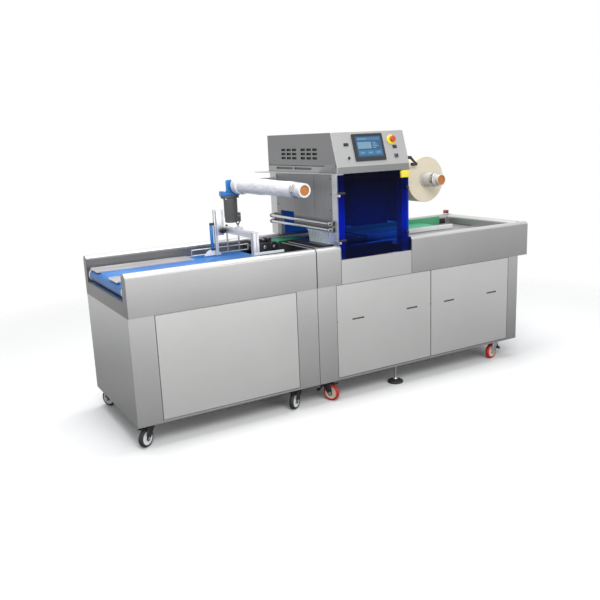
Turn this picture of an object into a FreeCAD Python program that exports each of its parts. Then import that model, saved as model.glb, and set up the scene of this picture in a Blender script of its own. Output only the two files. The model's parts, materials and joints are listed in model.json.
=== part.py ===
import FreeCAD, Part
import math
import os
import re

import Sketcher

# Tray sealer with an infeed conveyor, a sealing head and an outfeed trough, in millimetres.
# Machine positions run from the left end (x), the front face (y) and the floor (z).
# The model's own origin is on the floor under the middle of its bounding box.

SIZES = {
    # Infeed module, on the left
    "infeed_length": 1105,
    "infeed_post_left": 137,
    "infeed_post_right": 138,
    # Sealing module, on the right
    "sealer_length": 1604,
    "sealer_post_left": 127,
    "sealer_panel_split": 839,
    "sealer_post_right": 88,
    "outfeed_overhang": 82,
    # Both modules
    "machine_width": 800,
    "cabinet_bottom": 125,
    "deck_level_drop": 150,
    "skirt_bottom_drop": 225,
    "rim_top": 930,
    "rim_width": 60,
    "rim_round": 22,
    "cabinet_inset": 4,
    "panel_thickness": 15,
    "panel_gap": 3,
    "panel_sill": 12,
    "grip_length": 84,
    "grip_height": 9,
    "grip_depth": 8,
    "grip_level": 480,
    "grip_from_edge": 110,
    # Infeed conveyor
    "belt_start": 8,
    "belt_end_gap": 120,
    "belt_front": 110,
    "belt_rear_gap": 25,
    "belt_radius": 36,
    "belt_top_drop": 72,
    "belt_thickness": 3,
    "side_plate": 14,
    "bed_clearance": 0.5,
    "cover_start": 12,
    "cover_front_gap": 123,
    "cover_rear_gap": 383,
    "cover_width": 155,
    "cover_thickness": 4,
    "cover_front_y": 185,
    "cover_rear_y_inset": 245,
    # Gantry over the infeed
    "beam_x_gap": 290,
    "beam_side": 34,
    "beam_z_rise": 70,
    "gantry_front_y": 202,
    "gantry_rear_y_inset": 200,
    "upright_side": 20,
    "plate_width": 46,
    "plate_top_rise": 211,
    "plate_bottom_rise": 56,
    "plate_thickness": 12,
    "cross_bar_length": 130,
    "cross_bar_side": 20,
    "fin_radius": 40,
    "fin_thickness": 4,
    "fin_offset": 38,
    "guide_rod_radius": 5,
    "guide_rod_first": 3,
    "guide_rod_pitch": 78,
    "guide_clamp": 18,
    "guide_wire_radius": 4,
    "guide_wire_start_gap": 495,
    "guide_wire_end_gap": 115,
    "guide_wire_low_drop": 58,
    "guide_wire_high_drop": 24,
    "front_rail_start_gap": 290,
    "front_rail_end_gap": 100,
    "front_rail_bottom_drop": 24,
    "front_rail_height": 14,
    "front_rail_thickness": 8,
    # Transfer between the conveyor and the die
    "gripper_start_gap": 105,
    "gripper_length": 172,
    "gripper_y_inset": 210,
    "gripper_width": 145,
    "gripper_radius": 26,
    "gripper_pitch": 60,
    "gripper_z_drop": 50,
    "gripper_bar": 20,
    "transfer_belt_end_reach": 153,
    "transfer_belt_width": 120,
    "transfer_belt_y_inset": 185,
    "tray_table_x": 28,
    "tray_table_gap": 6,
    "tray_table_y_inset": 575,
    "tray_table_width": 388,
    "tray_length": 92,
    "tray_width": 270,
    "tray_height": 76,
    "tray_wall": 2,
    "tray_offset": 68,
    "tray_y_inset": 570,
    "tray_rest_drop": 25,
    # Outfeed
    "outfeed_deck_top_drop": 62,
    "outfeed_belt_y_inset": 330,
    "outfeed_belt_width": 250,
    "outfeed_belt_height": 27,
    "outfeed_belt_end_gap": 280,
    "outfeed_guide_height": 32,
    "outfeed_rear_guide_height": 57,
    "outfeed_guide_width": 12,
    "outfeed_guide_end_gap": 197,
    "outfeed_rear_guide_end_gap": 91,
    "sensor_block": 34,
    "sensor_height": 30,
    # Sealing head
    "head_offset": 167,
    "head_width": 515,
    "head_front": 20,
    "head_rear_overhang": 28,
    "head_bottom_rise": 406,
    "post_side": 50,
    "post_setback": 10,
    "rear_post_depth": 80,
    "wall_thickness": 4,
    "tunnel_top_rise": 82,
    "window_top_rise": 162,
    "window_front_inset": 270,
    "window_rear_inset": 100,
    "centre_panel_top_drop": 81,
    "hood_lip": 43,
    "hood_slope_run": 62,
    "hood_slope_rise": 188,
    "hood_rear_overhang": 40,
    "vent_length": 52,
    "vent_height": 14,
    "vent_depth": 8,
    "vent_pitch_y": 68,
    "vent_pitch_z": 25,
    "vent_group_gap": 36,
    "vent_rear_y_inset": 142,
    "vent_low_z_rise": 487,
    "lip_slot_rear_y_inset": 68,
    "lip_slot_length": 210,
    "lip_slot_gap": 15,
    "lip_slot_z_rise": 425,
    "shelf_reach": 106,
    "shelf_front_reach": 6,
    "shelf_thickness": 4,
    # Operator panel, measured up the sloping face
    "screen_x": 136,
    "screen_up": 22,
    "screen_width": 215,
    "screen_height": 161,
    "screen_proud": 7,
    "stop_x": 416,
    "stop_up": 142,
    "stop_plate_radius": 30,
    "stop_plate_thickness": 8,
    "stop_travel": 5,
    "stop_head_gap": 4,
    "stop_head_radius": 19,
    "stop_head_thickness": 10,
    "stop_stem_radius": 11,
    "stop_clearance": 0.3,
    "button_radius": 10,
    "button_proud": 9,
    "button_left_x": 90,
    "button_low_up": 44,
    "port_up": 124,
    "button_right_x": 431,
    # Dies
    "die_x": 168,
    "die_length": 300,
    "die_y": 130,
    "die_width_inset": 240,
    "upper_die_bottom_rise": 82,
    "seal_plate_height": 98,
    "seal_plate_margin": 20,
    "upper_die_height": 160,
    "die_column_radius": 20,
    "lower_die_bottom_drop": 130,
    "lower_die_height": 98,
    "die_pocket_depth": 50,
    "die_pocket_margin": 45,
    "die_travel": 95,
    "lift_column_radius": 25,
    "lift_column_depth": 140,
    "lift_column_clearance": 0.3,
    "lift_column_margin": 120,
    # Front guard
    "guard_thickness": 6,
    "guard_side_gap": 6,
    "guard_gap": 5,
    "guard_joggle_z_drop": 2,
    "guard_step": 19,
    "hinge_axis_x": 7,
    "hinge_axis_y": 6,
    "hinge_pin_radius": 3,
    "hinge_clearance": 0.3,
    "hinge_height": 12,
    "hinge_radius": 6.5,
    "hinge_low_z_rise": 25,
    "hinge_high_z_rise": 294,
    "hinge_leaf_reach": 26,
    "knob_radius": 10,
    "knob_length": 14,
    "knob_inset": 17,
    "switch_width": 64,
    "switch_height": 40,
    "switch_depth": 16,
    # Film guide rods left of the head
    "film_rod_radius": 9,
    "film_rod_front": 72,
    "film_rod_rear_inset": 34,
    "film_rod_x": 32,
    "film_rod_high_z_rise": 124,
    "film_rod_low_z_rise": 88,
    "film_bracket_thickness": 10,
    # Reels
    "reel_front_reach": 50,
    "reel_rear_reach_overhang": 82,
    "cap_radius": 28.5,
    "cap_thickness": 10,
    "core_radius": 37.5,
    "shaft_radius": 12,
    "rewind_x_reach": 258,
    "rewind_z_rise": 338,
    "rewind_film_radius": 50,
    "rewind_film_start": 40,
    "rewind_film_end_inset": 30,
    "rewind_flange_radius": 58,
    "rewind_flange": 8,
    "supply_x_reach": 193,
    "supply_z_rise": 332,
    "supply_radius": 140,
    "supply_start": 95,
    "supply_end_inset": 100,
    "reel_arm_gap": 6,
    "reel_arm_height": 60,
    "reel_arm_thickness": 22,
    "shaft_clearance": 0.3,
    "dancer_x": 52,
    "dancer_z_rise": 472,
    "dancer_radius": 10,
    "dancer_arm": 8,
    # Gear motor of the rewind reel
    "motor_x_reach": 294,
    "motor_radius": 45,
    "motor_bottom_rise": 98,
    "motor_top_rise": 270,
    "motor_flange_width": 124,
    "motor_flange_height": 30,
    "terminal_side": 34,
    "terminal_height": 60,
    "blue_plate_width": 30,
    "blue_plate_top_rise": 372,
    # Casters and levelling feet
    "wheel_radius": 50,
    "wheel_width": 26,
    "wheel_round": 8,
    "hub_recess": 5,
    "hub_radius": 33,
    "axle_radius": 6,
    "axle_clearance": 0.3,
    "caster_trail": 33,
    "fork_gap": 5,
    "fork_plate": 3,
    "fork_crown": 6,
    "fork_half_length": 26,
    "swivel_radius": 28,
    "swivel_clearance": 0.3,
    "mount_plate": 3,
    "mount_plate_side": 92,
    "pedal_length": 34,
    "pedal_thickness": 6,
    "caster_edge": 62,
    "infeed_caster_left": 75,
    "infeed_caster_right": 130,
    "sealer_caster_left": 75,
    "sealer_caster_right": 150,
    "foot_radius": 50,
    "foot_pad": 10,
    "foot_cone": 22,
    "foot_stem_radius": 8,
    "foot_nut_radius": 15,
    "foot_nut": 10,
    "foot_x": 593,
    "foot_edge": 60,
}

# Places that keep their distance from an end, the rear or the rim when that size changes
PLACES = {
    "belt_end": "infeed_length - belt_end_gap",
    "beam_x": "infeed_length - beam_x_gap",
    "guide_wire_start": "infeed_length - guide_wire_start_gap",
    "guide_wire_end": "infeed_length - guide_wire_end_gap",
    "front_rail_start": "infeed_length - front_rail_start_gap",
    "front_rail_end": "infeed_length - front_rail_end_gap",
    "gripper_start": "infeed_length - gripper_start_gap",
    "transfer_belt_end": "infeed_length + head_offset + transfer_belt_end_reach",
    "tray_x": "infeed_length + head_offset + tray_offset",
    "tray_table_start": "infeed_length + head_offset + tray_table_x",
    "rewind_x": "infeed_length + head_offset - rewind_x_reach",
    "motor_x": "infeed_length + head_offset - motor_x_reach",
    "supply_x": "infeed_length + head_offset + head_width + supply_x_reach",
    "cover_rear_y": "machine_width - cover_rear_y_inset",
    "gantry_rear_y": "machine_width - gantry_rear_y_inset",
    "gripper_y": "machine_width - gripper_y_inset",
    "transfer_belt_y": "machine_width - transfer_belt_y_inset",
    "tray_table_y": "machine_width - tray_table_y_inset",
    "tray_y": "machine_width - tray_y_inset",
    "outfeed_belt_y": "machine_width - outfeed_belt_y_inset",
    "window_front": "machine_width - window_front_inset",
    "window_rear": "machine_width - window_rear_inset",
    "vent_rear_y": "machine_width - vent_rear_y_inset",
    "lip_slot_rear_y": "machine_width - lip_slot_rear_y_inset",
    "die_width": "machine_width - die_width_inset",
    "film_rod_rear": "machine_width - film_rod_rear_inset",
    "rewind_film_end": "machine_width - rewind_film_end_inset",
    "supply_end": "machine_width - supply_end_inset",
    "head_rear": "machine_width + head_rear_overhang",
    "hood_rear": "machine_width + hood_rear_overhang",
    "reel_rear_reach": "machine_width + reel_rear_reach_overhang",
    "deck_level": "rim_top - deck_level_drop",
    "skirt_bottom": "rim_top - skirt_bottom_drop",
    "belt_top": "rim_top - belt_top_drop",
    "gripper_z": "rim_top - gripper_z_drop",
    "tray_rest": "rim_top - tray_rest_drop",
    "outfeed_deck_top": "rim_top - outfeed_deck_top_drop",
    "centre_panel_top": "rim_top - centre_panel_top_drop",
    "guide_wire_low": "rim_top - guide_wire_low_drop",
    "guide_wire_high": "rim_top - guide_wire_high_drop",
    "front_rail_bottom": "rim_top - front_rail_bottom_drop",
    "lower_die_bottom": "rim_top - lower_die_bottom_drop",
    "guard_joggle_z": "rim_top - guard_joggle_z_drop",
    "beam_z": "rim_top + beam_z_rise",
    "plate_top": "rim_top + plate_top_rise",
    "plate_bottom": "rim_top + plate_bottom_rise",
    "head_bottom": "rim_top + head_bottom_rise",
    "tunnel_top": "rim_top + tunnel_top_rise",
    "window_top": "rim_top + window_top_rise",
    "upper_die_bottom": "rim_top + upper_die_bottom_rise",
    "hinge_low_z": "rim_top + hinge_low_z_rise",
    "hinge_high_z": "rim_top + hinge_high_z_rise",
    "film_rod_high_z": "rim_top + film_rod_high_z_rise",
    "film_rod_low_z": "rim_top + film_rod_low_z_rise",
    "rewind_z": "rim_top + rewind_z_rise",
    "supply_z": "rim_top + supply_z_rise",
    "dancer_z": "rim_top + dancer_z_rise",
    "motor_bottom": "rim_top + motor_bottom_rise",
    "motor_top": "rim_top + motor_top_rise",
    "blue_plate_top": "rim_top + blue_plate_top_rise",
    "vent_low_z": "rim_top + vent_low_z_rise",
    "lip_slot_z": "rim_top + lip_slot_z_rise",
    "belt_width": "machine_width - rim_width - belt_rear_gap - belt_front",
    "cover_front_length": "belt_end - cover_start - cover_front_gap",
    "cover_rear_length": "belt_end - cover_start - cover_rear_gap",
}

doc = FreeCAD.newDocument("tray_sealer")
sheet = doc.addObject("Spreadsheet::Sheet", "sizes")
cells = list(SIZES.items()) + [(alias, "=" + formula) for alias, formula in PLACES.items()]
for row, (alias, content) in enumerate(cells, start=1):
    sheet.set(f"A{row}", alias)
    sheet.set(f"B{row}", str(content))
    sheet.setAlias(f"B{row}", alias)
doc.recompute()

# Places worked out from the driving sizes
RIGHT = "(infeed_length + sealer_length + outfeed_overhang)"
CABINET_RIGHT = "(infeed_length + sealer_length)"
MID_X = f"({RIGHT} / 2)"
MID_Y = "((reel_rear_reach - reel_front_reach) / 2)"
HEAD_LEFT = "(infeed_length + head_offset)"
HEAD_RIGHT = f"({HEAD_LEFT} + head_width)"
REAR_RIM_Y = "(machine_width - rim_width)"
POST_FRONT = "(head_front + post_setback)"
SLOPE = "atan(hood_slope_run / hood_slope_rise)"
WORD = re.compile(r"[a-z_]+")


def bound(text):
    """The expression with each size's alias looked up in the sheet."""
    known = SIZES.keys() | PLACES.keys()
    return WORD.sub(lambda m: "sizes." + m.group(0) if m.group(0) in known else m.group(0), str(text))


def bind(thing, path, text):
    thing.setExpression(path, bound(text))


def put(thing, x, y, z, local=False):
    """Place a piece by machine position, or by its own frame where local is true."""
    bind(thing, "Placement.Base.x", x if local else f"{x} - {MID_X}")
    bind(thing, "Placement.Base.y", y if local else f"{y} - {MID_Y}")
    bind(thing, "Placement.Base.z", z)


def box(label, x, y, z, dx, dy, dz, local=False):
    thing = doc.addObject("Part::Box", label)
    bind(thing, "Length", dx)
    bind(thing, "Width", dy)
    bind(thing, "Height", dz)
    put(thing, x, y, z, local)
    return thing


TURNS = {
    "x": FreeCAD.Rotation(FreeCAD.Vector(0, 1, 0), 90),
    "y": FreeCAD.Rotation(FreeCAD.Vector(1, 0, 0), -90),
    "z": FreeCAD.Rotation(),
}


def rod(label, along, x, y, z, radius, length, local=False):
    thing = doc.addObject("Part::Cylinder", label)
    thing.Placement.Rotation = TURNS[along]
    bind(thing, "Radius", radius)
    bind(thing, "Height", length)
    put(thing, x, y, z, local)
    return thing


def cone(label, x, y, z, low_radius, high_radius, height, local=False):
    thing = doc.addObject("Part::Cone", label)
    bind(thing, "Radius1", low_radius)
    bind(thing, "Radius2", high_radius)
    bind(thing, "Height", height)
    put(thing, x, y, z, local)
    return thing


def fuse(label, pieces):
    thing = doc.addObject("Part::MultiFuse", label)
    thing.Shapes = pieces
    return thing


def group(label, pieces):
    """Like pieces that do not touch, in one sub-part."""
    thing = doc.addObject("Part::Compound", label)
    thing.Links = pieces
    return thing


def cut(label, base, tools):
    tool = tools[0]
    if len(tools) > 1:
        tool = fuse(label + "_cutters", tools)
    thing = doc.addObject("Part::Cut", label)
    thing.Base = base
    thing.Tool = tool
    return thing


PLANES = {"x": "YZ_Plane", "y": "XZ_Plane", "z": "XY_Plane"}


def outline_body(label, across, points, length, x, y, z, local=False):
    """A body with straight edges: an outline in the plane across one axis, padded along it."""
    body = doc.addObject("PartDesign::Body", label)
    sketch = body.newObject("Sketcher::SketchObject", label + "_outline")
    plane = [f for f in body.Origin.OriginFeatures if f.Role == PLANES[across]][0]
    sketch.AttachmentSupport = [(plane, "")]
    sketch.MapMode = "FlatFace"
    corners = [
        FreeCAD.Vector(100 + 50 * math.cos(k * math.tau / len(points)),
                       100 + 50 * math.sin(k * math.tau / len(points)), 0)
        for k in range(len(points))
    ]
    for k, corner in enumerate(corners):
        sketch.addGeometry(Part.LineSegment(corner, corners[(k + 1) % len(corners)]))
    for k in range(len(points)):
        sketch.addConstraint(Sketcher.Constraint("Coincident", k, 2, (k + 1) % len(points), 1))
    for k, (first, second) in enumerate(points):
        for kind, text, start in (("DistanceX", first, corners[k].x), ("DistanceY", second, corners[k].y)):
            number = sketch.addConstraint(Sketcher.Constraint(kind, -1, 1, k, 1, start))
            sketch.setExpression(f"Constraints[{number}]", bound(text))
    pad = body.newObject("PartDesign::Pad", label + "_pad")
    pad.Profile = sketch
    pad.Reversed = across == "y"
    bind(pad, "Length", length)
    put(body, x, y, z, local)
    return body


def round_block(label, x, y, z, dx, dy, dz, radius, along, keep):
    """A block with the edges that run along one axis rounded where keep says so."""
    body = doc.addObject("PartDesign::Body", label)
    block = body.newObject("PartDesign::AdditiveBox", label + "_block")
    bind(block, "Length", dx)
    bind(block, "Width", dy)
    bind(block, "Height", dz)
    doc.recompute()
    chosen = []
    for number, edge in enumerate(block.Shape.Edges, start=1):
        run = edge.Vertexes[1].Point - edge.Vertexes[0].Point
        straight = abs(run.dot(along)) > 0.9 * run.Length
        if straight and keep(edge.CenterOfMass, block.Shape.BoundBox):
            chosen.append(f"Edge{number}")
    fillet = body.newObject("PartDesign::Fillet", label + "_round")
    fillet.Base = (block, chosen)
    bind(fillet, "Radius", radius)
    put(body, x, y, z)
    return body


ALONG_X = FreeCAD.Vector(1, 0, 0)
ALONG_Y = FreeCAD.Vector(0, 1, 0)
ALONG_Z = FreeCAD.Vector(0, 0, 1)


def top_edges(centre, bounds):
    return centre.z > bounds.Center.z


# Cabinets: closed housings with recesses that the lift-off panels fill
def cabinet(label, start, length, panels, bores=()):
    core = fuse(label + "_core", [
        box(label + "_block", start, "cabinet_inset", "cabinet_bottom", length,
            "machine_width - 2 * cabinet_inset", "skirt_bottom - cabinet_bottom"),
        box(label + "_deck", start, "rim_width", "skirt_bottom", length, "machine_width - 2 * rim_width",
            "deck_level - skirt_bottom"),
    ])
    recesses = list(bores)
    for name, panel_start, panel_length in panels:
        for side, y in (("front", "cabinet_inset"),
                        ("rear", "machine_width - cabinet_inset - panel_thickness")):
            recesses.append(box(f"{label}_{name}_{side}_recess", panel_start, y,
                                "cabinet_bottom + panel_sill", panel_length, "panel_thickness",
                                "skirt_bottom - cabinet_bottom - panel_sill"))
    return cut(label, core, recesses)


def panel(label, start, length, side, grips):
    """One lift-off panel, with slit finger grips in its face."""
    if side == "front":
        y = "cabinet_inset"
        grip_y = y
    else:
        y = "(machine_width - cabinet_inset - panel_thickness)"
        grip_y = f"({y} + panel_thickness - grip_depth)"
    sheet_box = box(label + "_sheet", f"{start} + panel_gap", y, "cabinet_bottom + panel_sill + panel_gap",
                    f"{length} - 2 * panel_gap", "panel_thickness",
                    "skirt_bottom - cabinet_bottom - panel_sill - 2 * panel_gap")
    if not grips:
        return sheet_box
    slots = [
        box(f"{label}_grip_{k}", place, grip_y, "grip_level", "grip_length", "grip_depth", "grip_height")
        for k, place in enumerate((f"{start} + grip_from_edge",
                                   f"{start} + {length} - grip_from_edge - grip_length"))
    ]
    return cut(label, sheet_box, slots)


INFEED_OPENING = ("infeed_post_left", "(infeed_length - infeed_post_left - infeed_post_right)")
SEALER_OPENING = ("(infeed_length + sealer_post_left)",
                  "(sealer_length - sealer_post_left - sealer_post_right)")
LEFT_SPLIT = (SEALER_OPENING[0], "(sealer_panel_split - sealer_post_left)")
RIGHT_SPLIT = ("(infeed_length + sealer_panel_split)",
               "(sealer_length - sealer_panel_split - sealer_post_right)")

cabinet("infeed_cabinet", "0", "infeed_length - panel_gap", [("side",) + INFEED_OPENING])
COLUMN_X = f"({HEAD_LEFT} + die_x + die_length / 2)"
COLUMN_Y = ("(die_y + lift_column_margin)", "(die_y + die_width - lift_column_margin)")
column_bores = [
    rod(f"column_bore_{k}", "z", COLUMN_X, y, "lower_die_bottom - 2 * lift_column_depth",
        "lift_column_radius + lift_column_clearance", "2 * lift_column_depth")
    for k, y in enumerate(COLUMN_Y)
]
cabinet("sealer_cabinet", "infeed_length", "sealer_length", [("side",) + SEALER_OPENING], column_bores)
infeed_panels = [panel(f"infeed_panel_{side}", *INFEED_OPENING, side, False) for side in ("front", "rear")]
sealer_panels = [
    panel(f"sealer_panel_{side}_{name}", *place, side, True)
    for side in ("front", "rear")
    for name, place in (("left", LEFT_SPLIT), ("right", RIGHT_SPLIT))
]
group("infeed_panels", infeed_panels)
group("sealer_panels", sealer_panels)


# Rims: box sections with rounded tops, which end beside the sealing head at the front
def rim(label, start, length, y):
    return round_block(label, start, y, "skirt_bottom", length, "rim_width", "rim_top - skirt_bottom",
                       "rim_round", ALONG_X, top_edges)


group("infeed_rims", [
    rim("infeed_rim_front", "0", "infeed_length - panel_gap", "0"),
    rim("infeed_rim_rear", "0", "infeed_length - panel_gap", REAR_RIM_Y),
])
group("sealer_front_rims", [
    rim("sealer_rim_left", "infeed_length", "head_offset", "0"),
    rim("sealer_rim_right", HEAD_RIGHT, f"{RIGHT} - {HEAD_RIGHT}", "0"),
])
rim("sealer_rear_rim", "infeed_length", f"{RIGHT} - infeed_length", REAR_RIM_Y)
round_block("outfeed_end_rim", f"{RIGHT} - rim_width", "rim_width", "skirt_bottom", "rim_width",
            "machine_width - 2 * rim_width", "rim_top - skirt_bottom", "rim_round", ALONG_Y, top_edges)
box("centre_front_panel", HEAD_LEFT, "0", "skirt_bottom", "head_width", "cabinet_inset + panel_thickness",
    "centre_panel_top - skirt_bottom")

# Infeed conveyor: one belt loop round a bed with side plates
BELT_Z = "(belt_top - belt_radius)"


def loop_shape(label, radius, y, width):
    first = rod(label + "_left", "y", "belt_start + belt_radius", y, BELT_Z, radius, width)
    second = rod(label + "_right", "y", "belt_end - belt_radius", y, BELT_Z, radius, width)
    middle = box(label + "_middle", "belt_start + belt_radius", y, f"{BELT_Z} - {radius}",
                 "belt_end - belt_start - 2 * belt_radius", width, f"2 * {radius}")
    return fuse(label, [first, second, middle])


cut("infeed_belt", loop_shape("belt_outside", "belt_radius", "belt_front", "belt_width"),
    [loop_shape("belt_inside", "(belt_radius - belt_thickness)", "belt_front - side_plate",
                "belt_width + 2 * side_plate")])
fuse("conveyor_bed", [
    loop_shape("bed_core", "(belt_radius - belt_thickness - bed_clearance)", "belt_front - side_plate",
               "belt_width + 2 * side_plate"),
    loop_shape("side_plate_front", "belt_radius", "belt_front - bed_clearance - side_plate", "side_plate"),
    loop_shape("side_plate_rear", "belt_radius", "belt_front + belt_width + bed_clearance", "side_plate"),
    box("bed_stand", "belt_start + 3 * belt_radius", "belt_front - bed_clearance - side_plate", "deck_level",
        "belt_end - belt_start - 6 * belt_radius", "side_plate", f"{BELT_Z} - deck_level"),
    box("bed_stand_rear", "belt_start + 3 * belt_radius", "belt_front + belt_width + bed_clearance",
        "deck_level", "belt_end - belt_start - 6 * belt_radius", "side_plate", f"{BELT_Z} - deck_level"),
])
group("guide_covers", [
    box(f"guide_cover_{side}", "cover_start", f"cover_{side}_y", "belt_top", f"cover_{side}_length",
        "cover_width", "cover_thickness")
    for side in ("front", "rear")
])

# Gantry over the infeed: the front leg stands on a cover, the rear upright on the conveyor's side plate
COVER_TOP = "(belt_top + cover_thickness)"
BEAM_TOP = "(beam_z + beam_side)"
UPRIGHT_X = "(beam_x - plate_width - upright_side / 2)"
UPRIGHT_Y = "(gantry_rear_y + plate_thickness)"
SIDE_PLATE_REAR = "(belt_front + belt_width + bed_clearance + side_plate)"
fin_disc = rod("fin_disc", "y", f"{UPRIGHT_X} - fin_offset / 2", f"{UPRIGHT_Y} + upright_side", COVER_TOP,
               "fin_radius", "fin_thickness")
fin_limit = box("fin_limit", f"{UPRIGHT_X} - fin_offset / 2 - fin_radius", f"{UPRIGHT_Y} + upright_side",
                COVER_TOP, "2 * fin_radius", "fin_thickness", "fin_radius")
fin = doc.addObject("Part::Common", "guide_fin")
fin.Base = fin_disc
fin.Tool = fin_limit
fuse("gantry_frame", [
    box("gantry_beam", "beam_x", "gantry_front_y", "beam_z", "beam_side", "gantry_rear_y - gantry_front_y",
        "beam_side"),
    box("gantry_beam_end", "beam_x", "gantry_rear_y", "beam_z", "beam_side",
        "plate_thickness + cross_bar_side", "beam_side"),
    box("gantry_leg", "beam_x", "gantry_front_y", COVER_TOP, "beam_side", "beam_side",
        f"{BEAM_TOP} - {COVER_TOP}"),
    box("sensor_plate", "beam_x - plate_width", "gantry_rear_y", "plate_bottom", "plate_width",
        "plate_thickness", "plate_top - plate_bottom"),
    box("gantry_upright", UPRIGHT_X, UPRIGHT_Y, COVER_TOP, "upright_side", "upright_side",
        f"plate_top - {COVER_TOP}"),
    box("gantry_foot", UPRIGHT_X, f"{UPRIGHT_Y} + upright_side", COVER_TOP, "upright_side",
        f"{SIDE_PLATE_REAR} - {UPRIGHT_Y} - upright_side", "cover_thickness"),
    box("gantry_shoe", UPRIGHT_X, f"{SIDE_PLATE_REAR} - side_plate", "belt_top", "upright_side",
        "side_plate", "cover_thickness"),
    box("cross_bar", "beam_x + beam_side", UPRIGHT_Y, "beam_z", "cross_bar_length - beam_side",
        "cross_bar_side", "cross_bar_side"),
    fin,
])
ROD_Y = f"({UPRIGHT_Y} + cross_bar_side + guide_clamp / 2)"
ROD_X = [f"(beam_x + beam_side + guide_rod_first + {k} * guide_rod_pitch)" for k in range(2)]
fuse("tray_guides", [
    rod(f"guide_rod_{k}", "z", x, ROD_Y, "guide_wire_low", "guide_rod_radius",
        f"{BEAM_TOP} - guide_wire_low")
    for k, x in enumerate(ROD_X)
] + [
    box(f"guide_clamp_{k}", f"{x} - guide_clamp / 2", f"{ROD_Y} - guide_clamp / 2", "beam_z",
        "guide_clamp", "guide_clamp", "cross_bar_side")
    for k, x in enumerate(ROD_X)
] + [
    rod(f"guide_wire_{level}", "x", "guide_wire_start", ROD_Y, f"guide_wire_{level}", "guide_wire_radius",
        "guide_wire_end - guide_wire_start")
    for level in ("low", "high")
] + [
    rod("guide_wire_end_post", "z", "guide_wire_start", ROD_Y, "guide_wire_low - guide_wire_radius",
        "guide_wire_radius", "guide_wire_high - guide_wire_low + 2 * guide_wire_radius"),
])
box("front_guide_rail", "front_rail_start", "gantry_front_y - front_rail_thickness", "front_rail_bottom",
    "front_rail_end - front_rail_start", "front_rail_thickness", "front_rail_height")

# Transfer from the conveyor to the die: black rollers in two side plates, then the green belt
# and a raised table in front of it that the tray stands on
rollers = [
    rod(f"transfer_roller_{k}", "y", f"gripper_start + gripper_radius + {k} * gripper_pitch", "gripper_y",
        "gripper_z", "gripper_radius", "gripper_width")
    for k in range(3)
]
gripper_sides = [
    box(f"transfer_side_{side}", "gripper_start", y, "deck_level", "gripper_length", "gripper_bar",
        "gripper_z + gripper_radius - deck_level")
    for side, y in (("front", "gripper_y"), ("rear", "gripper_y + gripper_width - gripper_bar"))
]
fuse("transfer_rollers", rollers + gripper_sides)
TRANSFER_START = "(gripper_start + gripper_length + gripper_bar)"
transfer_belt = box("transfer_belt", TRANSFER_START, "transfer_belt_y", "deck_level",
                    f"transfer_belt_end - {TRANSFER_START}", "transfer_belt_width", "tray_rest - deck_level")
box("tray_table", "tray_table_start", "tray_table_y", "deck_level",
    "die_x - tray_table_x - tray_table_gap", "tray_table_width", "tray_rest - deck_level")
tray_block = box("tray_block", "tray_x", "tray_y", "tray_rest", "tray_length", "tray_width", "tray_height")
tray_hollow = box("tray_hollow", "tray_x + tray_wall", "tray_y + tray_wall", "tray_rest + tray_wall",
                  "tray_length - 2 * tray_wall", "tray_width - 2 * tray_wall", "tray_height")
cut("tray", tray_block, [tray_hollow])

# Outfeed trough
box("outfeed_deck", HEAD_RIGHT, "rim_width", "deck_level", f"{RIGHT} - rim_width - {HEAD_RIGHT}",
    "machine_width - 2 * rim_width", "outfeed_deck_top - deck_level")
OUTFEED_RUN = f"({RIGHT} - rim_width - {HEAD_RIGHT})"
outfeed_belt = box("outfeed_belt", HEAD_RIGHT, "outfeed_belt_y", "outfeed_deck_top",
                   f"{OUTFEED_RUN} - outfeed_belt_end_gap", "outfeed_belt_width", "outfeed_belt_height")
group("green_belts", [transfer_belt, outfeed_belt])
group("outfeed_guides", [
    box("outfeed_guide_front", HEAD_RIGHT, "outfeed_belt_y - outfeed_guide_width", "outfeed_deck_top",
        f"{OUTFEED_RUN} - outfeed_guide_end_gap", "outfeed_guide_width", "outfeed_guide_height"),
    box("outfeed_guide_rear", HEAD_RIGHT, "outfeed_belt_y + outfeed_belt_width", "outfeed_deck_top",
        f"{OUTFEED_RUN} - outfeed_rear_guide_end_gap", "outfeed_guide_width", "outfeed_rear_guide_height"),
])
box("outfeed_sensor", f"{RIGHT} - rim_width", f"{REAR_RIM_Y} + rim_width / 2 - sensor_block / 2", "rim_top",
    "sensor_block", "sensor_block", "sensor_height")

# Sealing head: four posts, two side walls, a rear guard and the hood
POST_TOP = "head_bottom"
REAR_POST_Y = "(head_rear - rear_post_depth)"
posts = []
for side, x in (("left", HEAD_LEFT), ("right", f"({HEAD_RIGHT} - post_side)")):
    posts.append(box(f"front_post_{side}", x, POST_FRONT, "deck_level", "post_side", "post_side",
                     f"{POST_TOP} - deck_level"))
    posts.append(box(f"rear_post_{side}", x, REAR_POST_Y, "rim_top", "post_side", "rear_post_depth",
                     f"{POST_TOP} - rim_top"))
group("head_posts", posts)

WALL_FRONT = f"({POST_FRONT} + post_side)"
WALL_OUTLINE = [
    (WALL_FRONT, "head_bottom"),
    (WALL_FRONT, "tunnel_top"),
    ("window_front", "tunnel_top"),
    ("window_front", "window_top"),
    ("window_rear", "window_top"),
    ("window_rear", "rim_top"),
    (REAR_POST_Y, "rim_top"),
    (REAR_POST_Y, "head_bottom"),
]
group("side_walls", [
    outline_body("side_wall_left", "x", WALL_OUTLINE, "wall_thickness", HEAD_LEFT, "0", "0"),
    outline_body("side_wall_right", "x", WALL_OUTLINE, "wall_thickness", f"{HEAD_RIGHT} - wall_thickness",
                 "0", "0"),
])
box("rear_guard", f"{HEAD_LEFT} + post_side", f"{REAR_POST_Y} + post_side / 2", "rim_top",
    "head_width - 2 * post_side", "guard_thickness", "head_bottom - rim_top")

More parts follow.
